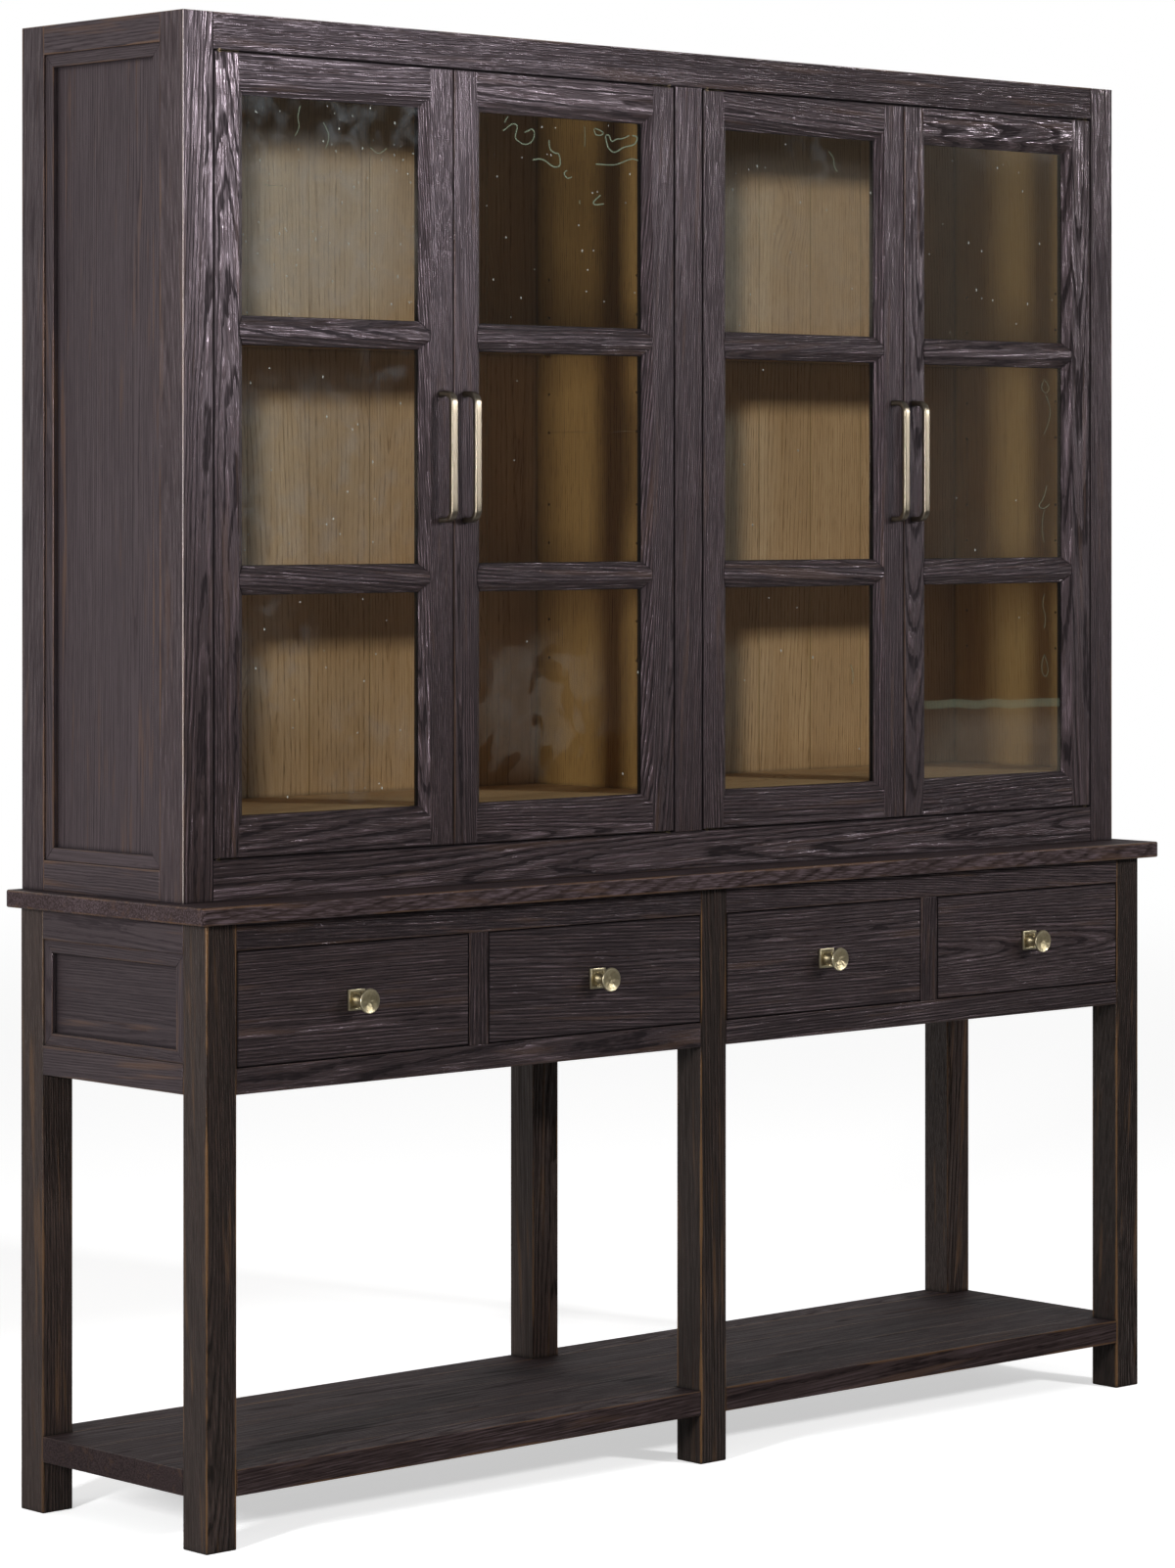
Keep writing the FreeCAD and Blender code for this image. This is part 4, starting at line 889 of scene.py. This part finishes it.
# flawed parts, door by door: (light from the top, across, up, reach across, reach up, cloud of painted reflection
# haze, painted reflection veil, patches of film)
flawPlaces = {
    1: [(0, 0.15, 0.92, 0.2, 0.2, 0.45, 0, 0), (0, 0.6, 0.93, 0.2, 0.2, 0.5, 0, 0),
        (0, 0.93, 0.9, 0.14, 0.14, 0.5, 0, 0), (0, 0.3, 0.4, 0.8, 0.45, 0.3, 0.3, 0),
        (1, 0.3, 0.4, 0.8, 0.5, 0.25, 0.06, 0), (1, 0.8, 0.95, 0.15, 0.15, 0.3, 0, 0),
        (2, 0.15, 0.7, 0.3, 0.3, 0.2, 0, 0.2), (2, 0.7, 0.3, 0.3, 0.3, 0.15, 0, 0.2)],
    2: [(2, 0.35, 0.45, 0.45, 0.35, 0.1, 0, 0.7)],
    3: [(0, 0.6, 0.93, 0.2, 0.2, 0.2, 0, 0), (0, 0.5, 0.4, 0.9, 0.5, 0.05, 0.14, 0)],
    4: [(0, 0.6, 0.5, 0.9, 0.9, 0, 0.05, 0), (1, 0.7, 0.4, 0.9, 0.9, 0, 0.05, 0),
        (2, 0.5, 0, 0.8, 0.42, 0, 0.13, 0)],
}
# threads drawn in the sheet, door by door: (light, width in mm, milkiness that is partly painted reflection, places in
# percent of the light)
threadPlaces = {
    1: [
        (0, 1.8, 0.5, [(33, 97), (31, 92), (33, 87), (30, 83)]),
        (0, 1.8, 0.45, [(46, 90), (49, 86), (49, 81), (47, 78)]),
        (0, 1.8, 0.45, [(73, 80), (76, 77), (80, 78), (82, 80)]),
        (0, 1.6, 0.35, [(13, 60), (19, 59), (23, 60)])],
    2: [
        (0, 2.4, 0.7, [(18, 99), (17, 98), (16, 96)]),
        (0, 2.4, 0.8, [(15, 92), (18, 94), (21, 96), (24, 95), (23, 92), (22, 89), (25, 87), (28, 86), (32, 87),
            (34, 90), (34, 93), (32, 94), (31, 93), (28, 92)]),
        (0, 2.6, 0.8, [(43, 89), (43, 85), (46, 83), (49, 83), (50, 80), (50, 77), (47, 76), (44, 77), (41, 79),
            (37, 80), (33, 79)]),
        (0, 2.4, 0.75, [(54, 75), (52, 74), (53, 72), (55, 71), (57, 72)]),
        (0, 2.2, 0.8, [(71, 96), (71, 95), (72, 93), (75, 93), (77, 94), (76, 95), (73, 96), (71.4, 96.3)]),
        (0, 2.6, 0.8, [(78, 93), (79, 89), (80, 87), (83, 85), (86, 86), (89, 88), (94, 89), (97, 90), (98.5, 93),
            (97, 94), (95, 94)]),
        (0, 2.4, 0.75, [(78.3, 93.2), (80, 94), (81, 92), (82, 90), (85, 92), (89, 92), (93, 94)]),
        (0, 2.2, 0.75, [(72, 79), (77, 79), (83, 79), (87, 80), (92, 82), (96, 83), (98.5, 82)]),
        (0, 2.4, 0.8, [(75, 64), (72, 62), (70, 60), (72, 59), (77, 60)]),
        (0, 1.8, 0.5, [(62, 61), (62, 59)]),
        (0, 1.6, 0.25, [(65, 97), (65.5, 92), (65, 87)])],
    3: [
        (0, 1.8, 0.35, [(70, 93), (74, 90), (73, 86), (76, 83)]),
        (2, 1.8, 0.3, [(85, 60), (88, 55), (86, 50)])],
    4: [
        (1, 1.8, 0.2, [(88, 94), (93, 90), (89, 86), (85, 90), (87.7, 93.6)]),
        (1, 1.8, 0.2, [(89, 86), (93, 80), (92, 72), (88, 65)]),
        (1, 2, 0.28, [(90, 38), (88, 31), (83, 27), (88, 25), (92, 28)]),
        (1, 1.8, 0.2, [(88, 25), (85, 16), (88, 8)]),
        (2, 1.8, 0.2, [(88, 94), (86, 88), (90, 82), (88, 76)]),
        (2, 1.8, 0.2, [(88, 62), (92, 55), (89, 49), (85, 55), (87.7, 61.6)]),
        (2, 17, 0.15, [(0.5, 38), (12, 37.5), (22, 38.5), (40, 36.5), (49, 38), (62, 36.2), (80, 37), (99.5, 36.5)])],
}


def makeGlass(values):
    material, add = newMaterial("mouthBlownSeededGlass")
    place = add("TexCoord").outputs["Object"]
    cloud, reflectionVeil, patches = add("SeparateXYZ", [
        add("Attribute", attribute_name="flaws").outputs["Vector"]]).outputs
    waves = add("TexNoise", {"Vector": place, "Scale": values["waves"][0], "Detail": 2.0})
    bump = add("Bump", {"Height": waves, "Strength": 1.0, "Distance": values["waves"][1]})
    clear = add("BsdfTransparent", [toLinear(values["tint"])])
    gloss = add("BsdfGlossy", {"Color": (1, 1, 1, 1), "Roughness": values["gloss"], "Normal": bump})
    # the same reflection from both faces: 4 percent head on, all of it edge on
    slant = add("LayerWeight", {"Blend": 0.5, "Normal": bump}).outputs["Facing"]
    steep = add("Math", [slant, values["slantPower"]], "POWER")
    reflected = add("Math", [steep, 1 - values["headOn"], values["headOn"]], "MULTIPLY_ADD")
    pane = add("MixShader", [reflected, clear, gloss])
    # painted reflection: a pale bluish haze painted into cloudy spots of the pane, standing for light it reflects
    clouds = add("TexNoise", {"Vector": place, **values["clouds"]})
    cloudy = add("MapRange", [clouds, *values["cloudy"]], "SMOOTHSTEP")
    reflectionHaze = add("Math", [cloudy, cloud], "MULTIPLY")
    scatter = add("BsdfDiffuse", [toLinear(values["reflectionHaze"])])
    withReflectionHaze = add("MixShader", [reflectionHaze, pane, scatter])
    # the veil: a grey film painted across the pane as a painted reflection, and a film of fine scratches and dust,
    # heavier in sharp-edged islands
    reflectionVeilAndFilm = add("BsdfDiffuse", [toLinear(values["reflectionVeil"])])
    islands = add("TexNoise", {"Vector": place, **values["islands"]})
    island = add("MapRange", [islands, *values["island"]])
    uneven = add("MapRange", [clouds, *values["uneven"]])
    thicker = add("Math", [island, patches], "MULTIPLY")
    veiled = add("MixShader", [add("Math", [uneven, reflectionVeil, thicker], "MULTIPLY_ADD"), withReflectionHaze, reflectionVeilAndFilm])
    # the cut rim sits in putty: matt, with no reflection
    rim = add("Attribute", attribute_name="rim").outputs["Fac"]
    putty = add("BsdfDiffuse", [toLinear(values["putty"])])
    add("OutputMaterial", [add("MixShader", [rim, veiled, putty])])
    return material


def makeSeedGlass():
    # an air bubble in the sheet: a bead whose near-white colour is a painted glint, letting the wood show round it
    material, add = newMaterial("airSeedInGlass")
    facing = add("LayerWeight", {"Blend": 0.35}).outputs["Facing"]
    glint = add("BsdfPrincipled", {"Base Color": toLinear("#dfe4e6"), "Roughness": 0.12, "Specular IOR Level": 0.8})
    clear = add("BsdfTransparent", [(1, 1, 1, 1)])
    share = add("MapRange", [facing, 0.0, 0.8, 0.35, 0.9])
    add("OutputMaterial", [add("MixShader", [share, clear, glint])])
    return material


def makeThreadGlass(values):
    # a thread drawn out in the molten sheet: thin and soft at its edges; its milky colour is partly painted reflection
    material, add = newMaterial("drawnThreadInGlass")
    milkinessAndReflection = add("Attribute", attribute_name="milkinessAndReflection").outputs["Fac"]
    cloud = add("TexNoise", {"Vector": add("TexCoord").outputs["Object"], "Scale": 90.0, "Detail": 2.0})
    uneven = add("MapRange", [cloud, 0.3, 0.65, 0.7, 1.0])
    share = add("Math", [milkinessAndReflection, uneven], "MULTIPLY")
    clear = add("BsdfTransparent", [(1, 1, 1, 1)])
    milky = add("BsdfDiffuse", [toLinear(values["thread"])])
    add("OutputMaterial", [add("MixShader", [share, clear, milky])])
    return material


def drawThreads(number, node, values, lights, material):
    # each thread is a smooth curve through its places, flattened into the sheet
    threads = bmesh.new()
    milkyLayer = threads.verts.layers.float.new("milkinessAndReflection")
    hidden = Vector((values["rebate"], 0, values["rebate"])) * 0.001
    for light, width, milkinessAndReflection, places in threadPlaces[number]:
        low, high = lights[light][0] + hidden, lights[light][1] - hidden
        size, deep = high - low, (low.y + high.y) / 2
        curve = bpy.data.curves.new("thread", "CURVE")
        curve.dimensions = "3D"
        curve.bevel_depth = width * 0.0005
        curve.bevel_resolution = 1
        curve.use_fill_caps = True
        spline = curve.splines.new("NURBS")
        spline.points.add(len(places) - 1)
        for point, (across, up) in zip(spline.points, places):
            point.co = (low.x + across / 100 * size.x, deep, low.z + up / 100 * size.z, 1)
        spline.order_u = 3
        spline.use_endpoint_u = True
        spline.resolution_u = 6
        drawn = bpy.data.objects.new("thread", curve)
        before = len(threads.verts)
        threads.from_mesh(bpy.data.meshes.new_from_object(drawn))
        threads.verts.ensure_lookup_table()
        for vert in threads.verts[before:]:
            vert.co.y = deep + (vert.co.y - deep) * min(1.0, 1.2 / width)
            vert[milkyLayer] = milkinessAndReflection
        bpy.data.objects.remove(drawn)
    closeMesh(threads)
    finishPiece(node + "_threads", threads, material, node, replaces=False)


def blowPanes(number, node, values, lights, material):
    # each pane is a wavy sheet whose corners carry the strength of its flaws
    wave = values["wave"] * 0.001
    bm = bmesh.new()
    flawLayer = bm.verts.layers.float_vector.new("flaws")
    rimLayer = bm.faces.layers.float.new("rim")
    for index, (low, high) in enumerate(lights):
        size, middle = high - low, (low + high) / 2
        sheet = standGrid(bm, (middle.x, low.y + wave, middle.z), size.x, size.z, values["cells"])
        grown = bmesh.ops.extrude_face_region(
            bm, geom=list(dict.fromkeys(face for vert in sheet for face in vert.link_faces)), use_keep_orig=True)
        back = [made for made in grown["geom"] if isinstance(made, bmesh.types.BMVert)]
        bmesh.ops.translate(bm, verts=back, vec=(0, size.y - 2 * wave, 0))
        for vert in sheet + back:
            across, up = (vert.co.x - low.x) / size.x, (vert.co.z - low.z) / size.z
            vert.co.y += wave * noise.noise(Vector((vert.co.x * 11, number + 3 * (vert in back), vert.co.z * 9)))
            total = Vector()
            for light, flawAcross, flawUp, wide, tall, *strengths in flawPlaces[number]:
                if light == index:
                    squarish = (abs((across - flawAcross) / wide) ** 3 + abs((up - flawUp) / tall) ** 3) ** (1 / 3)
                    total += Vector(strengths) * min(1.0, max(0.0, 1 - squarish) * values["flawEdge"])
            vert[flawLayer] = total
    bmesh.ops.recalc_face_normals(bm, faces=bm.faces)
    for face in bm.faces:
        face.smooth = abs(face.normal.y) > 0.7
        face[rimLayer] = 0.0 if face.smooth else 1.0
    finishPiece("door_%d_panes" % number, bm, material, node, sharpFrom=values["sharpFrom"])


def scatterSeeds(number, node, values, lights, material):
    chance = random.Random(number * 7)
    margin = values["seedMargin"] * 0.001
    bm = bmesh.new()
    for _ in range(values["seeds"][number]):
        low, high = lights[0 if chance.random() < values["seedsInTop"] else chance.choice((1, 2))]
        spot = Vector((chance.uniform(low.x + margin, high.x - margin), (low.y + high.y) / 2,
                       chance.uniform(low.z + margin, high.z - margin)))
        big = chance.uniform(*values["seedRadius"]) * 0.001
        bmesh.ops.create_icosphere(bm, subdivisions=1, radius=1.0, matrix=Matrix.Translation(spot)
                                   @ Matrix.Diagonal((big, min(big, 0.0012), big * chance.uniform(1, 2.2), 1)))
    finishPiece(node + "_seeds", bm, material, node, replaces=False, smooth=True)


blownGlass, seedGlass, threadGlass = makeGlass(glassValues), makeSeedGlass(), makeThreadGlass(glassValues)
for number in range(1, 5):
    node = "door_%d_glass" % number
    source = bmesh.new()
    source.from_mesh(nodes[node].data)
    lights = sorted((boundsOf(vert.co for face in group for vert in face.verts) for group in solidFaces(source)),
                    key=lambda box: -box[0].z)
    source.free()
    blowPanes(number, node, glassValues, lights, blownGlass)
    scatterSeeds(number, node, glassValues, lights, seedGlass)
    drawThreads(number, node, glassValues, lights, threadGlass)
print("doors glazed")
